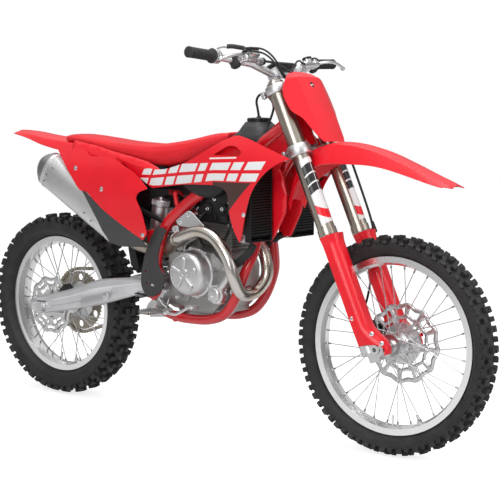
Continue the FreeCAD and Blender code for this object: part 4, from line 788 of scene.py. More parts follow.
def inside(points, loop):
    """Even-odd rule: a point is inside when a level line from it crosses the loop oddly often."""
    x, y = points[:, :1], points[:, 1:]
    a, b = loop, np.roll(loop, -1, 0)
    rising = (a[:, 1] > y) != (b[:, 1] > y)
    slope = (b[:, 0] - a[:, 0]) / np.where(b[:, 1] == a[:, 1], 1e-9, b[:, 1] - a[:, 1])
    return ((rising & (x < a[:, 0] + (y - a[:, 1]) * slope)).sum(1) % 2).astype(bool)


def cut_sheet(outline, spacing=14.0, holes=(), creases=()):
    """Flat triangles inside an outline, round its holes and along its creases."""
    loops = [divided(line, spacing) for line in (outline, *holes)]
    lines = [divided(line, spacing, closed=False) for line in creases]
    points, edges = [], []
    for line, closed in [(l, True) for l in loops] + [(l, False) for l in lines]:
        first, count = len(points), len(line)
        points += line.tolist()
        edges += [(first + k, first + (k + 1) % count) for k in range(count if closed else count - 1)]
    low, high = loops[0].min(0), loops[0].max(0)
    across = np.arange(low[0], high[0], spacing)
    up = np.arange(low[1], high[1], spacing * 0.87)
    fill = np.stack(np.meshgrid(across, up), -1)
    fill[1::2, :, 0] += spacing / 2
    fill = fill.reshape(-1, 2)
    keep = inside(fill, loops[0])
    for hole in loops[1:]:
        keep &= ~inside(fill, hole)
    fill = fill[keep]
    edge_points = np.array(points)
    gap = np.linalg.norm(fill[:, None] - edge_points[None], axis=2).min(1)
    points += fill[gap > spacing * 0.55].tolist()
    found = delaunay_2d_cdt([Vector(p) for p in points], edges, [], 4, 1e-4)
    flat, faces = np.array([tuple(v) for v in found[0]]), [list(f) for f in found[2]]
    middles = np.array([flat[f].mean(0) for f in faces])
    cut = sum([inside(middles, hole) for hole in loops[1:]], np.zeros(len(faces), bool))
    return flat, [f for f, out in zip(faces, cut) if not out]


def bent(sheet, axis, height, place=bike):
    """A flat sheet of (a, b) points given its third value, height(a, b), along axis x, y or z."""
    flat, faces = sheet
    return place(np.insert(flat, axis, height(flat[:, 0], flat[:, 1]), axis=1)), faces


def curve(table):
    """Smooth function through (place, value) pairs; straight on beyond its ends."""
    places, values = np.array(table, float).T
    fine = spline(np.stack([places, values], -1), 40 * len(places))
    return lambda at: np.interp(at, fine[:, 0], fine[:, 1])


def side_sheets(name, sheet, out, finish, slot, replaces=(), **more):
    """One bent sheet on each side of the chassis: `out` gives |y| from x and z, and {} in a
    name becomes the side."""
    for side, end in SIDES.items():
        piece(name.format(end), [bent(sheet, 1, lambda x, z: side * out(x, z))], finish, "chassis", slot,
              [node.format(end) for node in replaces], **{"outward": (0, side, 0), **more})


def rim(edge):
    """Rounded outline from (a, b, corner radius) rows."""
    rows = np.array(edge, float)
    return eased(rows[:, :2], rows[:, 2])


print("sheet helpers ready")

# %% [markdown]
# ## Shrouds
# The big panel on each side guides air into the radiator. It is one moulding: a long tail
# under the seat, a pointed wing beside the fork, and a leg down the radiator. A crease runs
# along it, and an air window in front of the tank shows a sunk inner wall, coloured a darker
# red as painted shade. Its print is plain slanted white blocks: a mask in the finish, worked
# out from the place on the panel.

# %% Shroud finish
def height_line(m, x, points):
    """z of a polyline at x, as a curve node made of straight spans."""
    total = points[0][1]
    for (xa, za), (xb, zb) in zip(points, points[1:]):
        part = m.node("ShaderNodeMapRange", {}, {"Value": x, "From Min": xa, "From Max": xb})
        total = part * (zb - za) + total
    return total


def bike_place(m):
    """x and z of the surface point in bike millimetres."""
    x, _, z = m.parts()
    return x * 1000.0 + SEAT_POINT[0], z * 1000.0 + SEAT_POINT[2]


BAND_TOP = ((470.0, 862.0), (590.0, 880.0), (730.0, 896.0), (905.0, 906.0), (1140.0, 918.0))
BAND_LOW = ((520.0, 822.0), (571.0, 815.0), (728.0, 829.0), (907.0, 849.0), (1084.0, 852.0))
BLOCKS = ((520.0, 562.0), (574.0, 640.0), (654.0, 700.0), (712.0, 800.0), (814.0, 852.0), (872.0, 958.0),
          (970.0, 1012.0), (1026.0, 1088.0))
BLOCK_LEAN = 0.55


def shroud_finish(name):
    m = Finish(name)
    x, z = bike_place(m)
    top, low = height_line(m, x, BAND_TOP), height_line(m, x, BAND_LOW)
    slanted = x - (z - 860.0) * BLOCK_LEAN
    bars = 0.0
    for a, b in BLOCKS:
        bars = slanted.between(a, b, PRINT_BLUR) + bars
    gap = (z - (top + low) * 0.5).math("ABSOLUTE").step(5.5, PRINT_BLUR)
    band = (top - z).step(0.0, PRINT_BLUR) * (z - low).step(0.0, PRINT_BLUR)
    white = bars * gap * band
    line = (z - (top + 12.0)).between(0.0, 5.0, PRINT_BLUR) * x.between(880.0, 1005.0, PRINT_BLUR)
    # Painted shade: a dark maroon triangle under the white band at the front of the panel.
    dark = ((low - 4.0 - z).step(0.0, 1.5) * ((z - 735.0) * 1.05 + 950.0 - x).step(0.0, 1.5)
            * x.step(900.0, 1.5))
    drift = m.noise(9.0, 2.0)
    red = m.mix(drift, tuple(c * 0.95 for c in RED[:3]) + (1.0,), RED)
    surface = m.mix(dark, red, (0.055, 0.018, 0.014, 1.0))
    surface = m.mix(white.math("MAXIMUM", line), surface, WHITE)
    return m.shade(bump=white * 0.4 + m.noise(90.0, 3.0) * 0.1, strength=0.05, depth=0.0004,
                   base_color=surface, roughness=m.noise(90.0, 3.0) * 0.06 + 0.36, coat_weight=0.30,
                   **MOULD_GLOSS)


finishes["shroud"] = shroud_finish("shroud")

# %% Shroud shape
SHROUD_EDGE = [(377, 911, 4), (490, 879, 60), (609, 867, 60), (748, 899, 60), (845, 939, 40),
               (927, 979, 30), (981, 997, 16), (1042, 985, 30), (1118, 958, 40), (1200, 926, 3),
               (1163, 913, 30), (1115, 880, 30), (1068, 825, 40), (1043, 760, 30), (1014, 677, 20),
               (998, 650, 3), (981, 685, 30), (968, 739, 40), (969, 805, 24), (950, 826, 20),
               (907, 834, 30), (747, 829, 60), (563, 806, 6)]
WINDOW_EDGE = [(896, 931, 4), (958, 963, 12), (990, 963, 14), (1024, 944, 12), (1014, 930, 5)]
SHROUD_CREASE = [(522, 832), (700, 848), (890, 865), (1060, 884), (1160, 912)]
shroud_out = curve([(360, 110), (380, 112), (560, 118), (700, 142), (850, 178), (1000, 198),
                    (1100, 190), (1220, 163)])
shroud_share = curve([(600, 0.80), (700, 0.92), (800, 0.995), (900, 1.0), (960, 0.93), (1010, 0.78)])
crease_x, crease_z = np.array(SHROUD_CREASE, float).T


def shroud_height(x, z, inset=0.0):
    """Outward |y|: a curve along x, times a share that falls above and below, with a 3 mm ridge
    on the crease that fades over 55 mm."""
    off = np.abs(z - np.interp(x, crease_x, crease_z))
    ridge = 3.0 * np.clip(1 - off / 55.0, 0, 1)
    return shroud_out(x) * shroud_share(z) + ridge - inset


shroud_sheet = cut_sheet(rim(SHROUD_EDGE), 13.0, holes=[rim(WINDOW_EDGE)], creases=[SHROUD_CREASE])
side_sheets("shroud_{}_panel", shroud_sheet, shroud_height, "shroud", "red_plastic", ["shroud_{}"],
            crease=30, wall=3.0, bevel=0.7)
# The sunk wall takes a darker red than the panel round it: painted shade in the recess.
sunk = cut_sheet(rim([(880, 940, 10), (950, 978, 10), (1002, 976, 16), (1042, 944, 10), (1030, 912, 8),
                      (874, 914, 8)]), 13.0)
side_sheets("shroud_{}_window_wall", sunk, lambda x, z: shroud_height(x, z, 14.0) - (x - 860.0) * 0.10,
            "recess_shade_red", "red_plastic", wall=2.0)
print("shroud faces", len(shroud_sheet[1]))

# %% [markdown]
# ## Side panels
# Each panel hangs under the seat, flares outwards at the boot and folds in to meet the fender.
# The real one is flexed plastic with no flat spot, so its height is one smooth curve of z.

# %% Side panels
PANEL_EDGE = [(83, 924, 3), (135, 886, 30), (180, 849, 30), (225, 801, 30), (244, 786, 4),
              (275, 785, 10), (347, 728, 60), (433, 683, 60), (545, 626, 6), (568, 652, 4),
              (550, 715, 60), (516, 772, 14), (531, 793, 14), (572, 806, 3), (504, 858, 60),
              (390, 903, 20), (307, 908, 20), (268, 908, 20), (237, 928, 20), (186, 934, 20)]
panel_out = curve([(570, 128), (590, 134), (650, 151.3), (730, 153.5), (800, 152), (870, 140),
                   (945, 106), (975, 90)])


def panel_height(x, z):
    """Outward |y| from z, drawn in slightly towards the rear and along a soft hollow."""
    hollow = 3.0 * np.exp(-((z - 838) / 22.0) ** 2) * np.clip((x - 430) / 100.0, 0, 1)
    return panel_out(z) - np.clip(180 - x, 0, 100) * 0.10 - hollow


panel_sheet = cut_sheet(rim(PANEL_EDGE), 14.0)
side_sheets("side_panel_{}_shell", panel_sheet, panel_height, "red_plastic", "red_plastic",
            ["side_panel_{}"], crease=30, wall=3.0, bevel=0.7)
print("side panel faces", len(panel_sheet[1]))

# %% [markdown]
# ## Fenders
# A fender is a channel: a nearly flat top, an edge crease, and a side that falls away. Its
# cross section is four measured points a side. The sections are joined lengthwise by the
# spline and rounded crosswise, then given a wall.

# %% Rear and front fenders
SHELF, SHELF_DROP, CROWN = 0.80, 6.0, 0.30


def channel(stations, place, rounding=7.0, rows=40, ridge=0.0):
    """Open shell from (along, top, low, half) rows; section points are the hem, the shoulder
    and the crown on each side, with an optional raised middle."""
    path = spline(stations, rows)
    sheets = []
    for along, top, low, half in path:
        right = [(half, low), (SHELF * half, top - SHELF_DROP), (CROWN * half, top),
                 (CROWN * half * 0.6, top + ridge)]
        section = np.array(right + [(-w, z) for w, z in right[::-1]])
        line = eased(section, rounding, closed=False, steps=4)
        sheets.append([(along, w, z) for w, z in line])
    return placed(grid(sheets, loop=(False, False), ends=False), place)


REAR_FENDER = [(-240, 984, 979, 30), (-226, 989, 979, 46), (-190, 988, 974, 54), (-131, 984, 962, 62),
               (-38, 972, 940, 76), (72, 961.5, 922, 84), (140, 953, 914, 88)]
piece("rear_fender_shell", [channel(REAR_FENDER, bike, ridge=2.5)], "red_plastic", "chassis",
      "red_plastic", ["rear_fender"], crease=28, wall=3.5, bevel=0.7, outward=UP)
FRONT_FENDER = [(-118, 918, 884, 44), (-60, 978, 944, 56), (0, 1016, 962, 62), (58, 1029, 966, 66),
                (150, 1004, 930, 68), (258, 930, 872, 64), (400, 785, 755, 52), (430, 755, 738, 47),
                (450, 734, 726, 38)]
piece("front_fender_shell", [channel(FRONT_FENDER, fork, rounding=3.0, rows=44, ridge=2.0)],
      "red_plastic", "steering", "red_plastic", ["front_fender"], crease=28, wall=3.5, bevel=0.7,
      outward=tuple(fork([1, 0, 1]) - fork([0, 0, 0])))
print("fenders made")

# %% [markdown]
# ## Number plate
# The plate in front of the bars has a flat face, a wing folded back on each side and a lip
# folded back along its top. It carries no number.

# %% Number plate
PLATE_EDGE = [(60, 1028, 6), (76, 1052, 20), (104, 1125, 20), (130, 1145, 16), (136, 1195, 20),
              (130, 1225, 20), (103, 1262, 16), (60, 1285, 16), (0, 1291, 30)]
plate_rim = rim(PLATE_EDGE + [(-y, s, r) for y, s, r in PLATE_EDGE[-2::-1]])
plate_centre = curve([(1020, 103), (1160, 97), (1300, 90)])


def plate_height(y, s):
    """Forward f: a face that bows 4 mm, wings that fold back past |y| = 66, a lip past s = 1258."""
    return (plate_centre(s) - 4.0 * (np.minimum(np.abs(y), 66) / 66.0) ** 2
            - 0.45 * np.clip(np.abs(y) - 66, 0, None) - 0.9 * np.clip(s - 1258, 0, None))


folds = [[(-66, s) for s in (1048, 1257)], [(66, s) for s in (1048, 1257)], [(y, 1258) for y in (-65, 65)]]
plate_sheet = cut_sheet(plate_rim, 11.0, holes=[circle((0, 1230), 11.0, 20)], creases=folds)
piece("blank_number_plate", [bent(plate_sheet, 0, plate_height, fork)], "red_plastic", "steering",
      "red_plastic", ["number_plate"], crease=14, wall=2.6, bevel=0.6,
      outward=tuple(fork([1, 0, 0]) - fork([0, 0, 0])))
print("plate faces", len(plate_sheet[1]))

# %% [markdown]
# ## Exhaust
# The header is one bent tube that leaves the head, swings forward and down, then runs back
# along the right side. Its centre line is a spline through the points where the real one
# bends. The silencer is a long tapered can with riveted sheet metal and a darker end cap.

# %% Header and silencer
PORT = np.array([900.0, -8.0, 708.0])
PORT_WAY = np.array([0.894, 0.0, -0.448])
CAN_WAY = np.array([-0.874, 0.0, 0.487])
CAN_TAIL = np.array([38.7, -100.0, 850.0])
CAN_INLET = CAN_TAIL - CAN_WAY * 466.0
header_line = spline([PORT, PORT + 22 * PORT_WAY, (944, -10, 650), (977, -8, 580), (984, -16, 520),
                      (972, -62, 474), (962, -116, 476), (952, -146, 530), (934, -152, 590),
                      (900, -154, 636), (858, -153, 664), (800, -152, 673), (725, -148, 650),
                      (684, -128, 636), (640, -98, 614), (600, -76, 594), (560, -60, 582),
                      CAN_INLET - 42 * CAN_WAY, CAN_INLET], 150)
weld = int(np.linalg.norm(header_line - (690, -130, 638), axis=1).argmin())
pipe_parts = [placed(tube(header_line[:weld + 1], 20.5, 28), bike)]
for first, last, r in ((0, 2, 30.0), (8, 9, 22.4)):
    a, b = header_line[first], header_line[last]
    pipe_parts.append(placed(spun(a, b - a, [(r - 3, -0.5), (r, 1), (r, np.linalg.norm(b - a) - 1),
                                             (r - 3, np.linalg.norm(b - a) + .5)], 28), bike))
piece("header_pipe", pipe_parts, "pipe_steel", "chassis", "pipe_steel", ["exhaust_header"])
away = header_line[weld + 1] - header_line[weld]
middle = [tube(header_line[weld:], 22.0, 28),
          spun(header_line[weld], away, [(20, -3), (22.6, -2), (23.4, 0), (22.6, 2), (20, 3)], 28),
          spun(header_line[-4], CAN_WAY, [(22, -14), (25.5, -13), (25.5, 13), (22, 14)], 28)]
on_bike("middle_pipe", middle, "stained_steel", "pipe_steel")


CAN_SIDES = 40


def oval_can(rows, ends=True):
    """Ovals of (distance from tail, half width, half height) carried along the can's line."""
    up = np.array([CAN_WAY[2], 0.0, -CAN_WAY[0]])
    shape = rounded(1.0, 1.0, 2.4, CAN_SIDES)
    at, w, h = np.array(rows, float).T
    centre = CAN_TAIL + CAN_WAY * at[:, None]
    points = (centre[:, None] + shape[None, :, :1] * w[:, None, None] * [0, 1, 0]
              + shape[None, :, 1:] * h[:, None, None] * up)
    return grid(points, ends=ends)


can = [oval_can([(-466, 24, 24), (-452, 26, 26), (-440, 28, 30), (-418, 37, 46), (-392, 45, 60),
                 (-380, 45.6, 62), (-200, 46, 65), (-3, 46, 67), (-1, 45, 66)])]
rings = [oval_can([(-396, 44, 60), (-395, 46.6, 63.2), (-378, 46.9, 63.8), (-377, 45, 61)]),
         oval_can([(-14, 45, 66), (-13, 47.2, 68.2), (-2, 47.2, 68.2), (-1, 45, 66)])]
on_bike("silencer_can", can + rings, "can_metal", "alloy", ["silencer"])
cap = oval_can([(-2, 44, 64), (-1, 46.4, 67.4), (14, 45.4, 65), (32, 38, 50), (44, 30, 36),
                (47, 27, 31), (46, 22, 23), (30, 20, 20), (-2, 19, 19)], ends=False)
cap_points, cap_faces = cap
last_ring = len(cap_points) - CAN_SIDES
cap_faces += [[a, b, b + last_ring, a + last_ring]
              for a, b in ((k, (k + 1) % CAN_SIDES) for k in range(CAN_SIDES))]
piece("silencer_end_cap", [(bike(cap_points), cap_faces)], "cap_metal", "chassis", "alloy")
print("exhaust made")

# %% [markdown]
# ## Seat
# The saddle is foam under one stretched cover. It starts as a loft a little smaller than the
# solid it stands for, is blown up by a short cloth simulation so that its top crowns and its
# sides swell, and is then smoothed once. How far a point may move is capped, so that it stays
# off the tank and the panels.

# %% Padded seat
SEAT_ROWS = [(68, 974, 966, 40), (72, 979, 961, 60), (84, 981, 956, 68), (140, 979, 952, 74),
             (243, 970, 934, 80), (344, 960, 914, 82), (443, 955, 896, 82), (515, 954, 884, 80),
             (587, 961, 880, 76), (679, 975, 900, 70), (770, 994, 938, 62), (834, 1004.5, 968, 55),
             (845, 1005, 978, 50)]


def seat_loft(rows, count, inset=0.0):
    """Closed loft: a flat base, an almost upright side and a crowned top at every station."""
    path = spline(rows, count)
    rings = []
    for x, top, low, half in path:
        half, high = half - inset, top - low - 2 * inset
        low = low + inset
        right = [(half - 5, low), (half, low + 0.30 * high), (0.97 * half, low + 0.62 * high),
                 (0.84 * half, low + 0.88 * high), (0.52 * half, low + 0.985 * high), (0, low + high)]
        ring = right + [(-w, z) for w, z in right[-2::-1]] + [(-0.5 * half, low), (0.5 * half, low)]
        rings.append([(x, w, z) for w, z in ring])
    return placed(grid(rings), bike)


seat = piece("padded_seat", [seat_loft(SEAT_ROWS, 72, 1.5)], "seat_cover", "chassis", "seat_cover",
             ["seat"], crease=60)


def swell(soft, voxel, pressure, cap, frames):
    """Remesh, inflate as cloth with no gravity, and move each point at most `cap` metres."""
    remesh = soft.modifiers.new("remesh", "REMESH")
    remesh.mode, remesh.voxel_size = "VOXEL", voxel
    bpy.context.view_layer.objects.active = soft
    soft.select_set(True)
    bpy.ops.object.modifier_apply(modifier=remesh.name)
    count = len(soft.data.vertices)
    before = np.empty(count * 3, dtype=np.float32)
    soft.data.vertices.foreach_get("co", before)
    cloth = soft.modifiers.new("cloth", "CLOTH")
    cloth.settings.use_pressure = True
    cloth.settings.uniform_pressure_force = pressure
    cloth.settings.effector_weights.gravity = 0.0
    for number in range(1, frames + 1):
        bpy.context.scene.frame_set(number)
    bpy.ops.object.modifier_apply(modifier=cloth.name)
    after = np.empty(count * 3, dtype=np.float32)
    soft.data.vertices.foreach_get("co", after)
    move = (after - before).reshape(-1, 3)
    length = np.linalg.norm(move, axis=1, keepdims=True)
    move *= np.minimum(1.0, cap / np.maximum(length, 1e-9))
    soft.data.vertices.foreach_set("co", (before.reshape(-1, 3) + move).ravel())
    bpy.context.scene.frame_set(1)
    return float(np.linalg.norm(move, axis=1).mean())


print("seat swelled by", round(swell(seat, 0.005, 4.0, 0.0025, 20), 5), "m on average")
smoothing = seat.modifiers.new("smooth", "SUBSURF")
smoothing.levels = smoothing.render_levels = 1
seat.data.shade_smooth()
print("seat points", len(seat.data.vertices))

# %% [markdown]
# ## Prisms
# Brackets, clamps and cases are flat outlines with a thickness and a small chamfer. The chamfer
# is the same outline moved inwards: each corner slides along the mean of its two edges' normals.

# %% Prisms and places in a finish
def shrunk(outline, by):
    """The outline moved inwards by a distance."""
    p = np.asarray(outline, float)
    ahead = np.roll(p, -1, 0) - p
    if (p[:, 0] * ahead[:, 1] - p[:, 1] * ahead[:, 0]).sum() < 0:
        by = -by
    normal = np.stack([-ahead[:, 1], ahead[:, 0]], -1) / np.linalg.norm(ahead, axis=1, keepdims=True)
    before = np.roll(normal, 1, 0)
    return p + by * (normal + before) / np.maximum(1 + (normal * before).sum(1, keepdims=True), 0.5)


def prism(outline, low, high, axis=1, edge=1.2):
    """An outline standing from low to high along axis x, y or z, with chamfered rims."""
    small = shrunk(outline, edge)
    rows = [(small, low), (outline, low + edge), (outline, high - edge), (small, high)]
    return grid([np.insert(np.asarray(line, float), axis, at, axis=1) for line, at in rows])


def fork_place(m):
    """f, y and s of the surface point, as lengths along the fork's three directions."""
    foot = fork([0, 0, 0])
    arm = m.node("ShaderNodeVectorMath", {"operation": "SUBTRACT"}, {0: m.where, 1: tuple(foot)})
    return [m.node("ShaderNodeVectorMath", {"operation": "DOT_PRODUCT"},
                   {0: arm, 1: tuple((fork(way) - foot) * 1e6)}, out="Value") for way in np.eye(3)]


print("prism helpers ready")

# %% [markdown]
# ## Fork
# The upper tubes are brown anodised alloy with a printed sleeve of plain slanted blocks. A
# plastic guard wraps the front of each lower tube: its cross-section is a superellipse whose
# reach changes along the leg, and whose side walls draw back to leave the axle clamp open.

# %% Fork tube print
tubes = Finish("fork_tube_print")
f, y, s = fork_place(tubes)
lean = s - f * 0.55
across = (y.math("ABSOLUTE") - LEG_Y) * 0.31 + (f - LEG_F) * 0.95
label = (across - 13.0).step(0.0, 0.6) * (s - f * 0.35).between(764.0, 982.0, PRINT_BLUR)
black = 0.0
for start, stop in ((862.0, 888.0), (893.0, 919.0), (924.0, 954.0)):
    black = lean.between(start, stop, PRINT_BLUR) + black
black = black * (1 - y.math("ABSOLUTE").between(LEG_Y + 3.0, LEG_Y + 5.5, 0.5))
reds = (s + f * 0.9).between(838.0, 868.0, PRINT_BLUR)
streaks = tubes.noise(900.0, 4.0, (1.0, 1.0, 0.04))
brown = tubes.mix(streaks, (0.46, 0.42, 0.36, 1.0), (0.37, 0.335, 0.285, 1.0))
surface = tubes.mix(label, brown, WHITE)
surface = tubes.mix(black * label, surface, INK)
surface = tubes.mix(reds * label, surface, RED)
finishes["fork_print"] = tubes.shade(bump=streaks, strength=0.05, depth=0.0004, base_color=surface,
                                     metallic=1 - label, roughness=streaks * 0.1 + 0.27)
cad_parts["fork_tubes"].data.materials.clear()
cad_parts["fork_tubes"].data.materials.append(finishes["fork_print"])

# %% Fork guards
GUARD_ROWS = [(738, 66, 45, 43), (722, 62.5, 41.5, 40), (700, 61, 39, 37), (600, 60.5, 38.6, 35.6),
              (470, 60.5, 38.6, 35.4), (428, 63, 38.6, 35.4), (400, 77, 37, 35), (372, 92, 35.5, 34.5),
              (346, 95, 34.5, 34), (330, 89, 33.5, 33.5)]
wall_turn = curve([(330, 36), (345, 31), (355, 37), (365, 50), (374, 70), (386, 94), (402, 100),
                   (738, 100)])


ARC_STEPS = 25


def guard_arc(row, inset):
    """Half wrap of one level: reach forward, outer and inner half widths, less an inset."""
    s, front, outer, inner = row
    turn = np.radians(np.linspace(-wall_turn(s), wall_turn(s), ARC_STEPS))
    c, n = np.cos(turn), np.sin(turn)
    depth = np.where(c > 0, front - LEG_F, 38.0) - inset
    half = np.where(n > 0, outer, inner) - inset
    return np.stack([LEG_F + depth * np.sign(c) * np.abs(c) ** 0.8,
                     LEG_Y + half * np.sign(n) * np.abs(n) ** 0.8, np.full(ARC_STEPS, s)], -1)


rings = [np.vstack([guard_arc(row, 0.0), guard_arc(row, 3.0)[::-1]]) for row in spline(GUARD_ROWS, 70)]
guard = grid(rings)
on_fork("fork_leg_guards", both_sides([guard]), "red_plastic", "red_plastic", ["fork_guards"], crease=50)
spots = [(70, 34.6, 404), (88, 28.5, 366), (24, 38.4, 470)]
heads = [p for side in SIDES for f, y, s in spots
         for p in bolts([(f, side * (LEG_Y + y), s)], (0.25, side, 0), 4.2, 2.6, 7.0)]
on_fork("guard_bolts", heads, "bright")

# %% Fork clamps
def clamp_parts(low, high):
    """One clamp: a pinched ring round each tube, a webbed bridge and its bolts."""
    parts = []
    for side in SIDES:
        y = side * LEG_Y
        parts.append(spun((LEG_F, y, 0), UP, [(28.4, low), (35.2, low), (37, low + 2.5),
                                              (37, high - 2.5), (35.2, high), (28.4, high)], 40,
                          loop=True))
        lug = [(-16, y + side * 20), (-30, y + side * 20), (-32, y + side * 8), (-16, y + side * 8)]
        parts.append(prism(lug, low + 3, high - 3, 2, 1.5))
        for level in (low + 8, high - 8):
            parts += bolts([(-24, y + side * 20, level)], (0, side, 0), 4.4, 3.5, 6.5)
    plan = eased([(-25, -34), (-25, 34), (-12, 64), (-4, LEG_Y - 26), (48, LEG_Y - 26), (38, 44), (20, 16),
                  (20, -16), (38, -44), (48, 26 - LEG_Y), (-4, 26 - LEG_Y), (-12, -64)], 9)
    parts.append(prism(plan, low, high, 2, 2.0))
    return parts


stem = [spun((0, 0, 0), UP, [(14, 1014), (14, 1244)], 32),
        spun((0, 0, 0), UP, [(19, 1253), (19, 1262), (17, 1264), (9, 1265), (9, 1258)], 6)]
posts = [spun((2, y, 0), UP, [(16, 1253), (14, 1262), (13, 1284), (15, 1291)], 28) for y in (-48, 48)]
caps = []
for side in SIDES:
    at = (LEG_F, side * LEG_Y, 0)
    caps.append(spun(at, UP, [(26, 1262), (26, 1265), (24, 1267), (20, 1267.5), (20, 1262)], 36))
    caps.append(spun(at, UP, [(15, 1266), (15, 1271), (12, 1272), (5, 1272)], 8))
clamp_set = stem + posts + clamp_parts(1012, 1047) + clamp_parts(1226, 1254)
on_fork("fork_clamps", clamp_set, "cover_alloy", "alloy", ["triple_clamps"])
on_fork("fork_caps", caps, "bright")
print("fork dressed")

# %% [markdown]
# ## Swingarm
# Each arm is a hollow casting: a bright upper facet, an outer face with a long shallow groove
# and a rounded belly. It is one loft with twelve corners to a section. Behind the axle block
# it splits into two rails and an end plate, so the block shows through its window.

# %% Swingarm
arm_top = curve([(-62, 360), (-25, 377), (150, 420), (295, 466), (440, 482), (540, 484), (585, 480),
                 (600, 470)])
arm_low = curve([(-62, 324), (-26, 312), (120, 336), (294, 374), (400, 404), (493, 436), (560, 444),
                 (600, 452)])
arm_in = curve([(-70, 96), (320, 96), (460, 71), (600, 70)])
arm_out = curve([(-70, 121.5), (350, 121.5), (490, 99), (600, 98)])


def arm_rows(places, top=None, low=None):
    """Sections of the right arm at the given x, between two height functions."""
    rows = []
    for x in places:
        a, b = float(arm_in(x)), float(arm_out(x))
        high = float((top or arm_top)(x))
        base = float((low or arm_low)(x))
        tall = high - base
        e, g = min(5.0, tall * 0.22), min(2.2, tall * 0.05)
        section = [(a + 2, base + e), (a + e, base), (b - 1.4 * e, base), (b, base + e),
                   (b, base + 0.30 * tall), (b - g, base + 0.36 * tall), (b - g, base + 0.62 * tall),
                   (b, base + 0.68 * tall), (b - 0.6, high - 1.9 * e), (b - 9, high - 0.4 * e),
                   (b - 13, high), (a + 3, high - 0.5)]
        rows.append([(x, -y, z) for y, z in section])
    return grid(rows)


def level(z):
    return lambda x: z


arm = [arm_rows(np.linspace(17, 596, 60)), arm_rows([-33, -10, 18], low=level(358.2)),
       arm_rows([-33, -10, 18], top=level(325.8)), arm_rows([-62, -60, -46, -32])]
bridge = prism(eased([(352, 408), (344, 440), (352, 470), (408, 474), (416, 430), (390, 412)], 8), -98,
               98, 1, 3.0)
pivot = spun((560, -99, 470), LEFT, [(9.4, 0), (25, 0), (27, 2), (27, 196), (25, 198), (9.4, 198)], 40,
             loop=True)
webs = [prism([(416, 432), (470, 446), (470, 474), (408, 474)], y, y + 4, 1, 0.8) for y in (-60, -2, 56)]
on_bike("cast_swingarm", arm + [mirrored(p) for p in arm] + [bridge, pivot] + webs, "arm_alloy",
        "alloy", ["swingarm"], crease=24)
end_bits = []
for side in SIDES:
    y = side * 121.5
    window = [(-28, 330), (-16, 330), (-4, 350), (-4, 330), (6, 330), (6, 354), (-6, 354), (-18, 336),
              (-18, 354), (-28, 354)]
    end_bits += [prism(eased([(-31, 327), (16, 327), (16, 357), (-31, 357)], 3), min(y, y + side * 1.6),
                       max(y, y + side * 1.6), 1, 0.5)]
    end_bits += [prism(window, min(y + side, y + side * 2.0), max(y + side, y + side * 2.0), 1, 0.2)]
on_bike("adjuster_plates", end_bits[0::2], "machined")
on_bike("adjuster_windows", end_bits[1::2], "black_cap")
boss = [spun((332, side * 119, 408), (0, side, 0), [(13, 0), (13, 4), (11, 5), (6, 5)], 28)
        for side in SIDES]
tails = [spun((-60, side * 109, 342), (-1, 0, 0), [(4, 0), (4, 9)], 16) for side in SIDES]
tails += [spun((-61, side * 109, 342), (-1, 0, 0), [(7, 0), (7, 5), (6, 6)], 6) for side in SIDES]
on_bike("arm_bosses", boss + tails, "machined")
print("swingarm made")

# %% [markdown]
# ## Engine covers
# Turned shapes with a cast star on the clutch cover, each with its ring of bolts. The star is
# five prisms that widen towards the rim.

# %% Engine covers
CLUTCH, PUMP, COIL = (753, -92, 528), (846, -92, 462), (800, 84, 500)


def around(centre, radius, count, first=0.0):
    """Points on a circle square to y."""
    turn = np.radians(first) + np.arange(count) * 2 * np.pi / count
    return np.stack([centre[0] + radius * np.cos(turn), np.full(count, centre[1]),
                     centre[2] + radius * np.sin(turn)], -1)


def blade(centre, angle, near, far, half_near, half_far):
    """Outline of a radial bar in x and z."""
    c, s = math.cos(math.radians(angle)), math.sin(math.radians(angle))
    local = np.array([(near, -half_near), (far, -half_far), (far + half_far * 0.7, 0), (far, half_far),
                      (near, half_near)])
    return np.stack([centre[0] + local[:, 0] * c - local[:, 1] * s,
                     centre[2] + local[:, 0] * s + local[:, 1] * c], -1)


cover = [spun(CLUTCH, RIGHT, [(84, 0), (84, 24), (82.5, 26), (79.5, 26.5), (78, 28), (77.4, 38),
                              (75, 54), (71.5, 63), (67, 69), (61, 72.5), (54, 74), (20, 74.5),
                              (19, 78), (16, 80.5), (6, 80.5), (4, 78)], 72)]
cover.append(spun(CLUTCH, RIGHT, [(66, 70.6), (64.5, 73.2), (62, 74.4), (60, 73.4)], 72, loop=True))
cover += [prism(blade(CLUTCH, 18 + 72 * k, 15, 52, 5.5, 10), -174.5, -165, 1, 2.2) for k in range(5)]
cover += [spun(spot, RIGHT, [(9.5, 0), (9.5, 24), (8, 27)], 20) for spot in around(CLUTCH, 80, 8, 10)]
pump = [spun(PUMP, RIGHT, [(33, 0), (33, 22), (31, 25), (26, 27), (24, 34), (20, 37), (9, 38), (6, 34)],
             40)]
pump.append(tube(spline([(846, -108, 470), (868, -110, 488), (890, -107, 516), (898, -105, 530)], 14),
                 11.5, 20))
pump += [spun(spot, RIGHT, [(7.5, 0), (7.5, 22), (6.5, 24)], 16) for spot in around(PUMP, 31, 4, 35)]
coil = [spun(COIL, LEFT, [(60, 0), (60, 16), (58, 19.5), (50, 21), (47, 24.5), (44, 27), (12, 27.5),
                          (10, 25)], 56)]
coil += [spun(spot, LEFT, [(8, 0), (8, 16), (7, 19)], 18) for spot in around(COIL, 55, 6, 0)]
on_bike("ribbed_engine_covers", cover + pump + coil, "cover_alloy", "alloy", ["engine_covers"],
        crease=30)
heads = bolts(around((753, -118.5, 528), 80, 8, 10), RIGHT, 5.0, 3.6)
heads += bolts(around((846, -115.5, 462), 31, 4, 35), RIGHT, 4.2, 3.2)
heads += bolts(around((800, 102.5, 500), 55, 6, 0), LEFT, 4.2, 3.2)
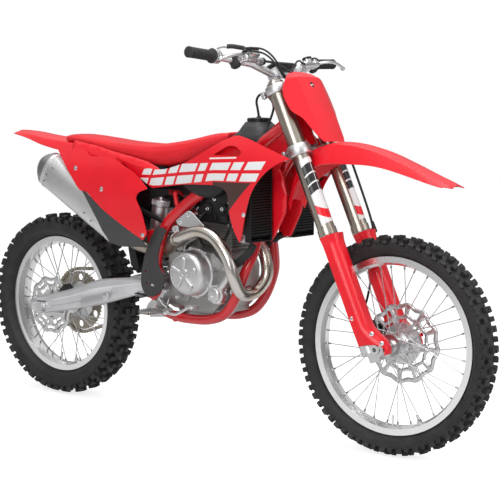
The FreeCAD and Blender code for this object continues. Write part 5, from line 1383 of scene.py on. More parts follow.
heads += bolts([(652, -92, 432), (656, -92, 556), (716, -92, 402), (866, -92, 548), (868, -92, 500),
                (700, -92, 592)], RIGHT, 5.0, 3.6, 7.5)
heads += bolts([(712, 84, 432), (724, 84, 572), (812, 84, 416), (866, 84, 540)], LEFT, 5.0, 3.6, 7.5)
on_bike("engine_bolts", heads, "bright")
ribs = [prism([(x, 389 + abs(x - 760) * 0.03), (x + 5, 389 + abs(x - 760) * 0.03), (x + 5, 412),
               (x, 412)], -64, 60, 1, 1.0) for x in range(690, 850, 22)]
ribs += [prism(eased([(664, 556), (690, 586), (708, 586), (680, 548)], 5), -96, -90, 1, 1.5)]
oil_lid = [spun((690, -90, 446), RIGHT, [(26, 0), (26, 7), (23, 10), (9, 11), (8, 8)], 36),
           spun((880, -60, 520), (1, 0, 0), [(13, 0), (13, 8), (11, 9)], 6)]
on_bike("case_details", ribs + oil_lid, "case_alloy", crease=30)
print("engine covers made")

# %% [markdown]
# ## Frame
# The frame is drawn again with tubes of the right fatness: the upper tubes are ovals that swell
# towards the steering head, and flat necks box them in. Every tube is a spline through the
# same points as the CAD tube, so the two differ only in section and bends.

# %% Frame tubes and plates
def oval_tube(points, widths, heights, count=60, sides=20):
    """Ellipse carried along a spline of bike points: `widths` across y and `heights` upright."""
    path = spline(points, count)
    along = np.gradient(path, axis=0)
    along /= np.linalg.norm(along, axis=1, keepdims=True)
    flat = np.cross(along, np.cross([0.0, 1.0, 0.0], along))
    flat /= np.linalg.norm(flat, axis=1, keepdims=True)
    up = np.cross(along, flat)
    t = np.linspace(0, 1, count)
    w = np.interp(t, np.linspace(0, 1, len(widths)), widths)[:, None, None]
    h = np.interp(t, np.linspace(0, 1, len(heights)), heights)[:, None, None]
    turn = full_turn(sides)[:, None]
    return grid(path[:, None] + w * np.cos(turn) * flat[:, None] + h * np.sin(turn) * up[:, None])


def axis_place(s):
    """Bike point on the steering axis."""
    return np.array([AXIS_X - s * math.sin(RAKE), 0.0, s * math.cos(RAKE)])


UPPER = [(1096, -24, 1040), (1050, -42, 1004), (1000, -60, 966), (870, -76, 872), (740, -86, 785),
         (660, -91, 726), (612, -92, 686), (582, -94, 630), (566, -94, 570), (562, -94, 524)]
CRADLE = [(974, -20, 712), (970, -32, 668), (962, -56, 600), (944, -80, 535), (915, -84, 465),
          (882, -82, 415), (842, -80, 383), (775, -76, 364), (700, -77, 360), (650, -79, 362),
          (600, -90, 376), (572, -94, 402)]
right = [oval_tube(UPPER, [15, 15, 16, 16, 16, 15, 15], [17, 20, 22, 22, 21, 19, 17]),
         oval_tube(CRADLE, [16] * 3, [16, 17, 17, 16], 70),
         oval_tube([(664, -88, 726), (646, -84, 756), (632, -76, 792)], [8, 8], [8, 8], 14, 12)]
neck_plate = eased([(1012, 930), (1000, 985), (1062, 1042), (1104, 1062), (1130, 1004), (1084, 928),
                    (1042, 852), (1012, 868)], 14)
sheet_neck = cut_sheet(neck_plate, 16.0)
down = oval_tube([(1128, 0, 990), (1088, 0, 944), (1042, 0, 880), (1002, 0, 790), (976, 0, 712),
                  (971, 0, 694)], [20, 20, 19, 19], [24, 22, 20, 19])
head = spun(axis_place(1051), axis_place(1) - axis_place(0),
            [(15, 0), (33, 0), (34, 3), (34, 26), (31, 32), (31, 136), (34, 142), (34, 167), (33, 170),
             (15, 170)], 40, loop=True)
guard_plate = eased([(520, 655), (606, 672), (596, 620), (572, 575), (572, 545), (600, 520), (602, 480),
                     (588, 440), (560, 412), (532, 425), (505, 455), (505, 515), (522, 560),
                     (540, 600)], 10)
plates = [prism(guard_plate, -110, -101, 1, 1.5)]
ear = prism(eased([(640, 712), (668, 728), (560, 778), (534, 776), (530, 756), (548, 742)], 6), -25.3,
            -17.3, 1, 1.2)
plates.append(spun((752, -62.3, 790), RIGHT, [(9, 0), (9, 26)], 20))
on_bike("shock_ears", both_sides([ear]), "black_alloy")
bars = [((640, 359), 90, 14), ((600, 668), 104, 13), ((975, 948), 62, 12), ((655, 722), 98, 11),
        ((1003, 780), 63.7, 8), ((894.5, 470), 86, 9)]
cross = [spun((x, -half, z), LEFT, [(r, 0), (r, 2 * half)], 24) for (x, z), half, r in bars]
cross.append(spun((548, -24, 762), LEFT, [(7, 0), (7, 48)], 16))
on_bike("welded_frame", both_sides(right + plates) + [down, head] + cross, "red_paint", "red_paint",
        ["frame"], crease=32)
side_sheets("neck_plate_{}", sheet_neck, lambda x, z: 16 + (1140 - x) * 0.34, "red_paint", "red_paint",
            wall=3.0, bevel=0.6)
frame_bolts = bolts([(560, -112, 470)], RIGHT, 9, 5, 13) + bolts([(560, 112, 470)], LEFT, 9, 5, 13)
frame_bolts += bolts([(894, -86, 470), (752, -88, 790)], RIGHT, 6, 4, 9)
frame_bolts += bolts([(894, 86, 470), (752, 88, 790)], LEFT, 6, 4, 9)
hanger = prism(eased([(676, 700), (733, 738), (750, 734), (812, 684), (796, 676), (690, 684)], 7), -124,
               -120, 1, 1.0)
tab = prism(eased([(655, 668), (662, 682), (684, 684), (690, 660), (676, 650)], 6), -122, -112, 1, 1.5)
on_bike("pipe_hanger", [hanger, tab], "cover_alloy")
frame_bolts += bolts([(733, -124, 724), (696, -124, 697), (672, -122, 668)], RIGHT, 5, 4, 8)
on_bike("frame_bolts", frame_bolts, "bright")
print("frame drawn again")

# %% [markdown]
# ## Shock absorber
# A true coil spring, a body with a threaded collar, and the big gas reservoir that shows
# behind the side panel, with a knurled cap.

# %% Shock absorber
TOP, FOOT = np.array([548.0, 0.0, 762.0]), np.array([456.0, 0.0, 372.0])
way = unit(FOOT - TOP)
one, two = np.array([0.0, 1.0, 0.0]), np.cross(way, [0.0, 1.0, 0.0])
t = np.linspace(0, 1, 260)
turns = 2 * np.pi * 6.5 * t
coil_line = TOP + way * (86 + 206 * t)[:, None] + 32.5 * (np.cos(turns)[:, None] * one +
                                                          np.sin(turns)[:, None] * two)
piece("shock_spring", [placed(tube(coil_line, 5.6, 12), bike)], "alloy", "chassis", "alloy")
body = [spun(TOP, way, [(14, 8), (15, 24), (25, 28), (26, 60), (37, 62), (38, 64), (38, 72), (37, 74),
                        (30, 75), (30, 78), (37, 79), (37.5, 81), (37, 84), (25, 85), (24, 150),
                        (12, 152), (10, 288), (32, 290), (33, 294), (31, 303), (12, 306), (11, 390)],
             36)]
body += [spun(p + one * 17, -one, [(6, 0), (r, 0), (r, 34), (6, 34)], 28)
         for p, r in ((TOP, 15), (FOOT, 14))]
res_foot, res_top = np.array([532.0, -57.0, 656.0]), np.array([550.0, -57.0, 770.0])
up_way = res_top - res_foot
body.append(spun(res_foot, up_way, [(22, 0), (27, 2), (29, 6), (29, 84), (27, 86), (31, 87), (31.5, 89),
                                    (31.5, 106), (29, 109), (12, 111), (11, 117), (7, 118)], 40))
knurls = [spun(res_foot + up_way * 0.79 +
               31.6 * (math.cos(a) * one + math.sin(a) * unit(np.cross(up_way, one))), up_way,
               [(1.3, 0), (1.3, 15)], 6) for a in full_turn(30)]
body.append(tube([(536, -16, 722), (524, -36, 724), (518, -46, 720)], 11, 18))
on_bike("shock_body", body + knurls, "alloy", "alloy", ["shock"], crease=30)
print("shock made")

# %% [markdown]
# ## Radiators
# Each radiator is a finned core between two tanks, behind a black guard whose slats overlap so
# far that the front reads as one dark face. The fins are a fine wave in the finish.

# %% Radiators and guards
fins = Finish("radiator_fins")
wave = (fins.parts()[2] * 2600.0).math("SINE")
finishes["fins"] = fins.shade(bump=wave, strength=0.6, depth=0.001,
                              base_color=fins.mix(wave * 0.5 + 0.5, (0.02, 0.02, 0.02, 1.0),
                                                  (0.10, 0.10, 0.10, 1.0)), metallic=0.6,
                              roughness=0.45)
core = [brick((990, -162, 677), (1016, -64, 861), 1.0)]
tanks = [brick((985, -165, 648), (1021, -61, 679), 7.0), brick((985, -165, 857), (1021, -61, 888), 7.0)]
tanks.append(spun((1003, -84, 884), UP, [(16, 0), (16, 8), (21, 9), (22, 11), (22, 17), (20, 19),
                                         (8, 20)], 30))
tanks.append(spun((1003, -162, 812), RIGHT, [(7, 0), (7, 34)], 16))
on_bike("radiator_cores", both_sides(core), "fins", "radiator_core", ["radiators"])
on_bike("radiator_tanks", both_sides(tanks), "cover_alloy", "alloy", crease=30)
slats = [prism([(1020.6, z), (1020.6, z + 3), (1043, z + 23), (1044, z + 19)], -167, -60, 1, 0.5)
         for z in np.arange(656, 872, 9.0)]
slats += [brick((1019.5, -170, 656), (1044, -166, 886), 1.0),
          brick((1019.5, -62, 656), (1044, -58, 886), 1.0),
          brick((1019.5, -170, 882), (1044, -58, 887), 1.0),
          brick((1019.5, -170, 652), (1044, -58, 656), 1.0)]
on_bike("radiator_louvres", both_sides(slats), "louvre_black", "black_plastic", ["radiator_guards"])
liner = cut_sheet(eased([(985, 656), (1040, 656), (1088, 745), (1092, 800), (1076, 866), (1048, 905),
                         (985, 896)], 12), 14.0)
side_sheets("radiator_liner_{}", liner, lambda x, z: 54 - (x - 985) * 0.10 - np.abs(z - 780) * 0.03,
            "red_plastic", "red_plastic", wall=2.5, outward=RIGHT)
hoses = [spline([(1003, -104, 640), (990, -112, 612), (950, -116, 580), (915, -112, 552),
                 (900, -106, 532)], 30),
         spline([(1000, 72, 664), (985, 44, 652), (950, 30, 622), (925, -20, 592), (905, -88, 560)],
                40),
         spline([(990, -70, 868), (956, -66, 838), (900, -62, 806), (862, -52, 786)], 24)]
piece("radiator_hoses", [placed(tube(line, 12.5, 18), bike) for line in hoses], "hose_rubber",
      "chassis", "grip_rubber")
print("radiators made")

# %% [markdown]
# ## Cylinder head
# Cam cover, bolts, plug cap, wiring and coolant joints: small black shapes with bright edges.

# %% Cylinder head details
head_parts = [prism(eased([(738, 778), (866, 772), (858, 812), (746, 816)], 8), -64, 64, 1, 4.0),
              prism(eased([(728, 700), (880, 692), (892, 740), (864, 780), (746, 786), (718, 742)], 10),
                    -64.5, 64.5, 1, 3.0)]
head_parts += [spun((x, -64, z), RIGHT, [(r, 0), (r, 5), (r - 2, 7), (r - 4, 7), (r - 5, 5), (3, 5)],
                    26)
               for x, z, r in ((772, 742, 20), (836, 744, 17), (800, 716, 11))]
head_parts += [tube(spline([(800, -40, 812), (804, -56, 826), (842, -70, 818), (884, -74, 790),
                            (930, -70, 800)], 26), 5.0, 10),
               tube(spline([(760, -66, 730), (742, -80, 700), (750, -88, 650), (774, -90, 616)], 24),
                    4.0, 10),
               tube(spline([(846, -66, 760), (880, -80, 730), (886, -84, 690), (862, -88, 640)], 24),
                    5.0, 10),
               tube(spline([(700, -50, 770), (706, -84, 740), (712, -92, 700), (700, -94, 640)], 24),
                    6.0, 10)]
head_parts += [brick((440, 44, 512), (534, 50, 706), 2.0), brick((688, -96, 742), (722, -58, 786), 4.0),
               brick((848, -92, 700), (876, -66, 726), 4.0)]
on_bike("head_details", head_parts, "black_alloy", crease=30)
head_bolts = bolts([(738, -65, 772), (744, -64, 806), (858, -64, 802), (866, -65, 766), (878, -65, 706),
                    (736, -65, 712), (800, -66, 776), (772, -70, 742), (836, -70, 744), (880, -66, 738),
                    (722, -66, 742)], RIGHT, 4.6, 3.6, 7)
head_bolts += [spun((870, -50, 690), RIGHT, [(8, 0), (8, 20), (6, 22)], 14),
               spun((716, -76, 690), RIGHT, [(9, 0), (9, 12), (6, 14)], 14)]
on_bike("head_bolts", head_bolts, "bright")
case_parts = [brick((596, -86, 392), (704, 58, 604), 14.0),
              brick((626, -70, 371), (812, 60, 424), 15.0), brick((640, -64, 590), (740, 60, 640), 8.0)]
case_parts += [spun((676, -104, 618), LEFT, [(8, 0), (22, 0), (24, 3), (24, 60), (20, 64), (20, 150)],
                    30),
               spun((706, -92, 596), LEFT, [(5, 0), (12, 1), (13, 4), (13, 40)], 20),
               tube(spline([(712, -84, 560), (700, -104, 590), (700, -96, 620), (728, -78, 640)], 20),
                    6.0, 12)]
on_bike("engine_back", case_parts, "case_alloy", crease=34)
fins_low = [prism(eased([(732, z), (878, z - 4), (878, z), (732, z + 4)], 1.0), -64, 64, 1, 0.8)
            for z in np.arange(617, 692, 8.5)]
on_bike("barrel_fins", fins_low, "dark_steel", crease=30)
print("head detailed")

# %% [markdown]
# ## Fuel tank
# Little of the tank shows: a neck between the shrouds, the belly above the engine, the filler
# cap with finger ribs, and a vent hose looped from the cap into the steering stem. The neck
# is a stack of rounded rectangles that grows from the cap's size to the tank's.

# %% Tank, cap and vent hose
levels = np.array([(836, 770, 70, 46), (860, 810, 100, 66), (900, 862, 108, 80), (940, 900, 104, 84),
                   (980, 938, 88, 80), (1004, 950, 68, 66), (1020, 946, 54, 54), (1030, 940, 43, 43),
                   (1036, 940, 38, 38)], float)
fine = spline(levels, 48)
shape = rounded(1.0, 1.0, 3.2, 44)
tank_rings = np.stack([fine[:, 1, None] + fine[:, 2, None] * shape[None, :, 0],
                       fine[:, 3, None] * shape[None, :, 1],
                       np.repeat(fine[:, 0, None], len(shape), 1)], -1)
tank_parts = [grid(tank_rings)]
lobe = prism(eased([(688, 834), (700, 812), (749, 788), (811, 780), (866, 806), (880, 836)], 20), -108,
             -70, 1, 8.0)
tank_parts += [lobe, mirrored(lobe)]
on_bike("moulded_tank", tank_parts, "tank", "black_plastic", ["fuel_tank"], crease=40)
cap_parts = [spun((940, 0, 1034), UP, [(24, 0), (35, 0), (36.5, 2), (36.5, 13), (35, 15), (20, 16),
                                       (18, 14), (8, 14), (7, 20), (4, 21)], 48)]
cap_parts += [spun((940 + 36 * math.cos(a), 36 * math.sin(a), 1037), UP, [(3.4, 0), (3.4, 9), (2, 11)],
                   10) for a in full_turn(16)]
on_bike("filler_cap", cap_parts, "black_cap", "black_plastic", crease=30)


def cable(name, points, diameter, finish, body, place=bike, replaces=()):
    """A cord on one NURBS spline of order 3 whose control points are `points` in millimetres."""
    line = bpy.data.curves.new(name, "CURVE")
    line.dimensions, line.resolution_u, line.bevel_resolution, line.use_fill_caps = "3D", 10, 4, True
    run = line.splines.new("NURBS")
    run.points.add(len(points) - 1)
    where = place(np.array(points, float))
    run.points.foreach_set("co", np.c_[where, np.ones(len(where))].ravel())
    run.order_u, run.use_endpoint_u = 3, True
    made = bpy.data.objects.new(name, line)
    bpy.context.collection.objects.link(made)
    bpy.context.view_layer.update()
    bare = bpy.data.meshes.new_from_object(made)
    bpy.data.meshes.remove(bare)
    line.bevel_depth = diameter / 2000.0
    line.materials.append(finishes[finish])
    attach(made, body)
    if replaces:
        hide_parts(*replaces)
    return made


cable("tank_vent_hose", [(940, 0, 1052), (937, -2, 1078), (932, -6, 1106), (952, -9, 1130),
                         (990, -9, 1120), (1012, -8, 1090), (1000, -6, 1058), (985, -10, 1020),
                         (972, -20, 980)], 8.0, "hose_rubber", "chassis")
print("tank made")

# %% [markdown]
# ## Handlebar controls
# Grips are soft rubber with close ribs. The throttle housing carries a cable elbow in
# rubber boots. The brake pump is a small silver casting with a square reservoir and a black lid.

# %% Grips, throttle, pumps and cables
BAR_BEND, BAR_END = np.array([-42.0, 262.0, 1378.0]), np.array([-40.0, 405.0, 1385.0])
bar_way = unit(BAR_END - BAR_BEND)
t = np.arange(36.0, 142.0, 0.8)
ribs = 16.2 + 1.0 * np.clip(np.sin(t * 2 * np.pi / 3.4), -0.2, 1)
grip = spun(BAR_BEND, bar_way, [(12.6, 28.5), (23, 28.5), (24, 30), (22.5, 33),
                                (18, 34.5)] + list(zip(ribs, t)) +
            [(17.8, 143), (17.8, 146), (15, 147.4), (3, 147.8)], 36)
on_fork("ribbed_grips", both_sides([grip]), "grip_rubber", "grip_rubber", ["grips"], crease=50)
housing = [spun(BAR_BEND * (1, -1, 1), bar_way * (1, -1, 1),
                [(13, 3), (21, 3), (23, 5), (23, 14), (21.6, 14.6), (21.6, 15.6), (23, 16), (23, 26),
                 (21, 27.6), (13, 27.6)], 34)]
housing += [tube(spline([(-40, -272, 1398), (-32, -262, 1405), (-16, -254, 1403), (0, -248, 1394)], 16),
                 6.5, 14)]
housing += bolts([(-62, -270, 1384), (-22, -276, 1372)], RIGHT, 3.0, 3.0, 4.5)
on_fork("throttle_housing", housing, "cover_alloy", "alloy", crease=30)
boots = [tube(spline([(-4, -249, 1396), (10, -243, 1390), (22, -232, 1382), (33, -218, 1374)], 16), 7.2,
              14),
         brick((-36, -224, 1332), (-6, -198, 1374), 5.0), brick((-34, 222, 1336), (-6, 246, 1378), 5.0),
         spun((18, -124, 1341), LEFT, [(12, 0), (12, 10), (6, 14)], 18),
         brick((26, -22, 1232), (44, 22, 1246), 3.0)]
on_fork("cable_boots", boots, "grip_rubber", "grip_rubber", crease=40)


def lever_parts(side, reservoir):
    """Perch, pump and lever of one side: side is -1 for the rider's right."""
    perch = np.array([-24.0, 204.0, 1359.0])
    made = [spun(perch - bar_way * 12, bar_way,
                 [(12.4, 0), (17, 0), (18, 2), (18, 22), (17, 24), (12.4, 24)], 26, loop=True),
            brick((-12, 192, 1340), (16, 216, 1362), 4.0), brick((4, 196, 1342), (24, 214, 1358), 3.0),
            spun((18, 122, 1341), (0, 1, 0.09),
                 [(3, 0), (9, 0), (11, 2), (11, 26), (9.5, 28), (9.5, 60), (11, 62), (11, 84), (6, 88)],
                 24),
            spun((14, 206, 1338), UP, [(3, 0), (6, 1), (6, 4), (3.6, 5), (3.6, 24), (6.5, 25),
                                       (6.5, 28), (3, 29)], 18),
            tube(spline([(14, 208, 1350), (28, 228, 1350), (39, 254, 1348), (41, 284, 1345),
                         (35, 318, 1340), (26, 350, 1334)], 40), 4.9, 14),
            spun((25, 342, 1335), LEFT, [(1, 0), (5.5, 2), (8, 7), (8, 10), (5.5, 15), (1, 17)], 20)]
    if reservoir:
        made.append(brick((2, 140, 1350), (36, 190, 1374), 5.0))
    else:
        made.append(spun((18, 150, 1344), (0.1, 0, 1), [(5, 0), (15, 4), (15, 16), (12, 18)], 26))
    made += bolts([(-32, 204, 1344), (-32, 204, 1372)], (-1, 0, 0), 2.6, 4.0, 4.2)
    return [part if side > 0 else mirrored(part) for part in made]


on_fork("brake_lever_set", lever_parts(-1, True), "machined", "machined", ["brake_lever"], crease=34)
on_fork("clutch_lever_set", lever_parts(1, False), "machined", "machined", ["clutch_lever"], crease=34)
lids = [brick((-1, -192, 1372), (39, -137, 1380), 3.0),
        spun((19.5, 150, 1361), (0.1, 0, 1), [(4, 0), (16.5, 0), (16.5, 5), (15, 7), (4, 7)], 26)]
on_fork("pump_lids", lids, "black_cap", "black_plastic", crease=34)
lid_screws = bolts([(8, -184, 1380), (30, -145, 1380)], UP, 2.6, 1.6)
on_fork("lid_screws", lid_screws, "bright")
pad = [brick((-25, -62, 1323), (31, 62, 1341.5), 7.0)]
on_fork("bar_pad_cover", pad, "black_plastic", "black_plastic", ["bar_pad"], crease=40)

cable("throttle_cable_pull", [(31, -220, 1375), (50, -190, 1370), (64, -156, 1360), (66, -122, 1334),
                              (58, -92, 1296), (46, -60, 1264), (36, -16, 1244)], 6.0, "hose_rubber",
      "steering", fork)
cable("throttle_cable_return", [(30, -218, 1368), (46, -186, 1360), (58, -152, 1348), (60, -120, 1322),
                                (52, -88, 1284), (42, -50, 1256), (34, 6, 1242)], 6.0, "hose_rubber",
      "steering", fork)
cable("clutch_hose", [(18, 126, 1342), (22, 104, 1348), (40, 66, 1344), (54, 20, 1330), (54, -24, 1296),
                      (38, -20, 1262), (34, 14, 1244)], 6.0, "hose_rubber", "steering", fork)
cable("front_brake_line", [(18, -118, 1341), (30, -98, 1338), (60, -70, 1304), (74, -24, 1240),
                           (78, 30, 1160), (80, 66, 1104), (78, 88, 1056), (72, 108, 1000),
                           (62, 124, 900), (57, 129, 810), (54, 129, 760), (44, 128, 712),
                           (24, 130, 676), (4, 129, 640), (-10, 122, 606), (-34, 106, 552),
                           (-52, 84, 512), (-66, 58, 480)], 8.0, "hose_rubber", "steering", fork,
      replaces=["brake_hose"])
guides = [brick((44, 119, 728), (60, 135, 746), 2.0), tube([(56, 129, 742), (55, 129, 766)], 5.8, 14)]
on_fork("hose_guides", guides, "black_plastic", "black_plastic")
print("handlebar dressed")

# %% [markdown]
# ## Chain
# The drive chain is one loop of pinned links round both sprockets. The pitch line is two arcs
# and two tangents; pins sit on it one pitch apart, and plates alternate between the inner and
# the outer pair. Links are carried to their places as whole arrays.

# %% Chain links
PITCH, CHAIN_Y = 15.875, 78.0
centres = np.array([[0.0, REAR_R], [640.0, 478.0]])
radii = [PITCH / (2 * math.sin(math.pi / teeth)) for teeth in (48, 14)]
span = centres[1] - centres[0]
slope, spread = math.atan2(span[1], span[0]), math.acos((radii[0] - radii[1]) / np.linalg.norm(span))
runs = []
for centre, r, first, sweep in ((centres[0], radii[0], slope + spread, 2 * (math.pi - spread)),
                                (centres[1], radii[1], slope - spread, 2 * spread)):
    turn = first + np.linspace(0, sweep, 80)
    runs.append(centre + r * np.stack([np.cos(turn), np.sin(turn)], -1))
pitch_line = np.vstack(runs + [runs[0][:1]])
gone = np.r_[0.0, np.cumsum(np.linalg.norm(np.diff(pitch_line, axis=0), axis=1))]
count = 2 * round(gone[-1] / PITCH / 2)
spots = np.linspace(0, gone[-1], count + 1)
pins = np.stack([np.interp(spots, gone, pitch_line[:, k]) for k in (0, 1)], -1)
half_plate = [(-7.0, 0), (-5.0, 5.0), (0.0, 7.0), (4.6, 5.6), (7.94, 4.4), (11.3, 5.6), (15.9, 7.0),
              (20.9, 5.0), (22.9, 0)]
plate = np.array(half_plate + [(u, -v) for u, v in half_plate[-2:0:-1]])
chain_parts = []
for i, (a, b) in enumerate(zip(pins[:-1], pins[1:])):
    along = unit(b - a)
    across = np.array([-along[1], along[0]])
    flat = a + plate[:, :1] * along + plate[:, 1:] * across
    offset = 4.6 if i % 2 else 6.4
    for side in SIDES:
        low, high = sorted((CHAIN_Y + side * offset, CHAIN_Y + side * (offset + 1.6)))
        chain_parts.append(prism(flat[:, :2], low, high, 1, 0.3))
    chain_parts.append(spun((a[0], CHAIN_Y - 8.4, a[1]), LEFT,
                            [(2.6, 0), (2.6, 3.9), (5.0, 4), (5.0, 12.8), (2.6, 12.9), (2.6, 16.8)], 8))
on_bike("chain_links", chain_parts, "chain_steel", "chain_steel", ["chain"], crease=40)
print("links", count)

# %% [markdown]
# ## Controls at the feet
# The pegs are open frames with teeth, on cast brackets. The brake pedal and the shift lever are
# slim forged arms with a small tread each.

# %% Footpegs, pedal and shift lever
def peg(side):
    """Toothed foot rest: three bars, a nose, and rows of pointed teeth."""
    bars = [brick((582, -213, 382), (590, -138, 392), 1.5), brick((628, -213, 382), (636, -138, 392), 1.5),
            brick((605, -211, 383), (613, -138, 391), 1.5), brick((583, -213, 382), (635, -205, 392), 1.5),
            brick((583, -150, 380), (635, -136, 394), 2.5), brick((588, -182, 384), (630, -176, 390), 1.0)]
    bars += [spun((x, y, 390.5), UP, [(3.4, 0), (2.8, 4), (0.8, 8.6)], 5) for x in (586, 609, 632)
             for y in np.arange(-208, -152, 9.0)]
    bars.append(prism(eased([(590, 428), (604, 430), (622, 410), (640, 402), (640, 380), (604, 374),
                             (592, 392)], 8), -132, -112, 1, 3.0))
    bars.append(spun((609, -126, 376), UP, [(4, 0), (7, 1), (7, 22), (4, 23)], 18))
    return [part if side < 0 else mirrored(part) for part in bars]


on_bike("toothed_footpegs", [p for side in SIDES for p in peg(side)], "case_alloy", "alloy",
        ["footpegs"], crease=34)
pedal = [tube(spline([(652, -150, 390), (676, -151, 384), (704, -152, 386), (736, -152, 402),
                      (768, -152, 419)], 30), 5.2, 12),
         spun((652, -120, 389), RIGHT, [(6, 0), (11, 2), (11, 34), (6, 36)], 24),
         brick((762, -177, 415), (799, -144, 421), 2.0)]
pedal += [spun((x, y, 420.5), UP, [(2.6, 0), (0.9, 4.2)], 5) for x in np.arange(767, 797, 7.0)
          for y in (-172, -164, -156, -149)]
on_bike("forged_brake_pedal", pedal, "machined", "alloy", ["brake_pedal"], crease=34)
shift = [tube(spline([(724, 108, 440), (742, 116, 446), (766, 126, 436), (790, 127, 428),
                      (806, 128, 425)], 30), 4.6, 12),
         spun((724, 96, 440), LEFT, [(5, 0), (10, 1), (10, 18), (5, 19)], 22),
         spun((806, 118, 424), LEFT, [(4, 0), (7.5, 1), (7.5, 26), (4, 27)], 20)]
on_bike("forged_shift_lever", shift, "machined", "alloy", ["shift_lever"], crease=34)
print("foot controls made")

# %% [markdown]
# ## Frame guards, valves and seat trim
# Thick rubbery guards wrap the frame beside the rider's boots. Tyre valves, rim locks, the trim
# under the seat and the panels' bolts follow.

# %% Frame guards and small parts
GUARD_EDGE = [(575, 669), (600, 676), (630, 665), (614, 643), (600, 617), (590, 590), (584, 562),
              (588, 540), (602, 518), (614, 492), (608, 468), (594, 444), (559, 427), (535, 429),
              (508, 446), (500, 470), (502, 510), (512, 545), (530, 592), (551, 636)]
guard_sheet = cut_sheet(eased(GUARD_EDGE, 10), 9.0,
                        holes=[circle(at, 4.6, 14) for at in ((528, 516), (532, 474), (566, 467))])
spine_x, spine_z = np.array([(606, 668), (576, 616), (556, 566), (558, 520), (562, 470), (552, 430)],
                            float)[::-1].T


def guard_height(x, z):
    """Outward |y|: 7 mm prouder along the guard's spine than 46 mm away from it."""
    return 112 + 7.0 * np.clip(1 - (np.abs(x - np.interp(z, spine_z, spine_x)) / 46.0) ** 2, 0, 1)


for side, end in SIDES.items():
    piece("frame_guard_" + end, [bent(guard_sheet, 1, lambda x, z: side * guard_height(x, z))],
          "guard_grey", "chassis", "grey_plastic", ["frame_guards"] if side < 0 else (), wall=3.0,
          bevel=0.8, outward=(0, side, 0))


def rim_fitting(place, turn, inner, profile):
    """Small turned part standing on the inside of a rim, pointing at the axle."""
    out = np.array([math.cos(turn), 0.0, math.sin(turn)])
    return placed(spun(out * inner, -out, profile, 14), place)


VALVE = [(5, -6), (5, 2), (3.2, 3), (3.2, 20), (4.0, 21), (4.0, 29), (2.0, 30)]
LOCK = [(8, -6), (8, 2), (6.5, 3), (6.5, 9), (3.4, 10), (3.4, 26), (1.5, 27)]
for end, place, inner, turn in (("front", front_wheel, 252.0, -2.0), ("rear", rear_wheel, 226.0, -1.7)):
    fittings = [rim_fitting(place, turn, inner, VALVE), rim_fitting(place, turn + 0.38, inner, LOCK)]
    piece(end + "_rim_fittings", fittings, "bright", end + "_wheel", crease=34)
TRIM_EDGE = [(150, 962), (262, 945), (344, 927), (443, 909), (515, 895), (560, 880), (604, 862),
             (604, 842), (560, 828), (505, 842), (430, 878), (380, 886), (300, 894), (240, 906),
             (150, 922)]
seat_low = curve([(200, 952), (243, 934), (344, 914), (443, 896), (515, 884), (587, 880), (640, 884)])
trim_sheet = cut_sheet(eased(TRIM_EDGE, 8), 12.0)
side_sheets("seat_trim_{}", trim_sheet, lambda x, z: 88 + 0.42 * np.clip(seat_low(x) + 14 - z, 0, 90),
            "red_plastic", "red_plastic", wall=2.4)


def on_panel(spots, height, tilt, head, washer):
    """Bolts that stand 0.6 mm out of a panel at (x, z), on both sides of the bike."""
    made = []
    for side in SIDES:
        for x, z in spots:
            y = side * (float(height(np.array(x), np.array(z))) + 0.6)
            made += bolts([(x, y, z)], (0, side, tilt), head, 2.4, washer)
    return made


panel_bolts = on_panel([(211, 864), (351, 795), (548, 646)], panel_height, 0.1, 5.0, 8.5)
panel_bolts += on_panel([(1031, 744)], shroud_height, 0, 4.6, 7.5)
on_bike("panel_bolts", panel_bolts, "bright")
print("small parts made")

# %% [markdown]
# ## Last touches
# Silencer rivets, disc and sprocket bolts, the rear brake line, and the two brake discs, which
# are thin rings with a wavy edge and long windows. Bare metal without any fastener looks like
# a toy.

# %% Rivets, bolts, rear brake line and discs
rivets = []
for x, z in ((94, 861), (47, 813), (62, 836), (290, 680), (310, 722), (255, 706)):
    rivets += bolts([(x, -147.2, z)], RIGHT, 3.0, 1.4)
on_bike("silencer_rivets", rivets, "dark_steel")


def ring_bolts(place, radius, count, y, side, head):
    """Bolt heads on a circle about a wheel's axle."""
    turn = 2 * np.pi * (np.arange(count) + 0.5) / count
    spots = [(radius * math.cos(a), y, radius * math.sin(a)) for a in turn]
    return [placed(p, place) for p in bolts(spots, (0, side, 0), head, 3.0, head * 1.5)]


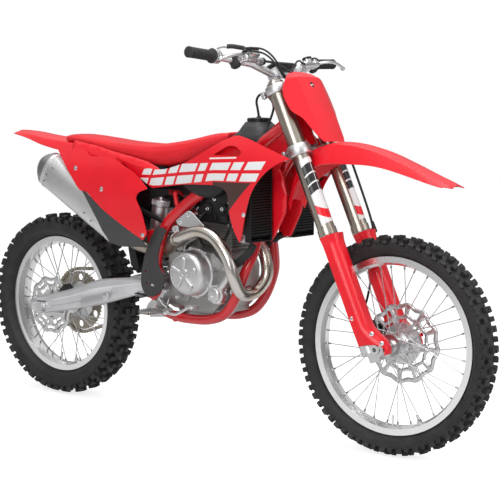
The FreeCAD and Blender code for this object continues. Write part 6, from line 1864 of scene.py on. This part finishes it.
piece("front_disc_bolts", ring_bolts(front_wheel, 59.0, 6, 55.7, 1, 4.5), "bright", "front_wheel")
piece("rear_disc_bolts", ring_bolts(rear_wheel, 51.0, 6, -79.7, -1, 4.5), "bright", "rear_wheel")
piece("sprocket_bolts", ring_bolts(rear_wheel, 62.0, 6, CHAIN_Y + 3.0, 1, 5.0), "bright", "rear_wheel")
cable("rear_brake_line", [(52, -104, 372), (80, -112, 398), (140, -116, 406), (260, -112, 420),
                          (400, -104, 432), (500, -98, 430), (580, -100, 412), (636, -112, 396)], 7.0,
      "hose_rubber", "chassis")


def wave_ring(radius, swing, waves, start, stop, count):
    """Points at radius + swing cos(waves a), from angle start to angle stop."""
    a = np.linspace(start, stop, count)
    r = radius + swing * np.cos(waves * a)
    return np.stack([r * np.cos(a), r * np.sin(a)], -1)


DISC_STEPS = 144


def open_disc(name, radius, inner, waves, y, side, place):
    """Thin brake disc: a wavy edge, one long window a wave, and six lugs that reach in to its bolts."""
    last, step = 2 * math.pi * (DISC_STEPS - 1) / DISC_STEPS, 2 * math.pi / waves
    bore = wave_ring(inner, 3.0, waves, 0, last, DISC_STEPS)
    lug = np.abs(np.arctan2(bore[:, 1], bore[:, 0]) % (math.pi / 3) - math.pi / 6) < 0.14
    bore[lug] *= ((inner - 28.0) / np.linalg.norm(bore[lug], axis=1))[:, None]
    holes = [bore]
    for k in range(waves):
        a, b = step * (k + 0.14), step * (k + 0.86)
        holes.append(np.concatenate([wave_ring(radius - 18.0, 4.0, waves, a, b, 9),
                                     wave_ring(inner + 11.0, 3.0, waves, b, a, 9)]))
    sheet = cut_sheet(wave_ring(radius - 4.0, 4.0, waves, 0, last, DISC_STEPS), 7.0, holes)
    piece("open_" + name, [bent(sheet, 1, lambda a, b: np.full_like(a, y), place)], name,
          name.replace("disc", "wheel"), "disc_steel", [name], crease=30, wall=3.5,
          outward=tuple(place([0, side, 0]) - place([0, 0, 0])))


open_disc("front_disc", 130.0, 79.0, 12, 55.75, 1, front_wheel)
open_disc("rear_disc", 110.0, 71.0, 10, -79.75, -1, rear_wheel)
print("last touches made")
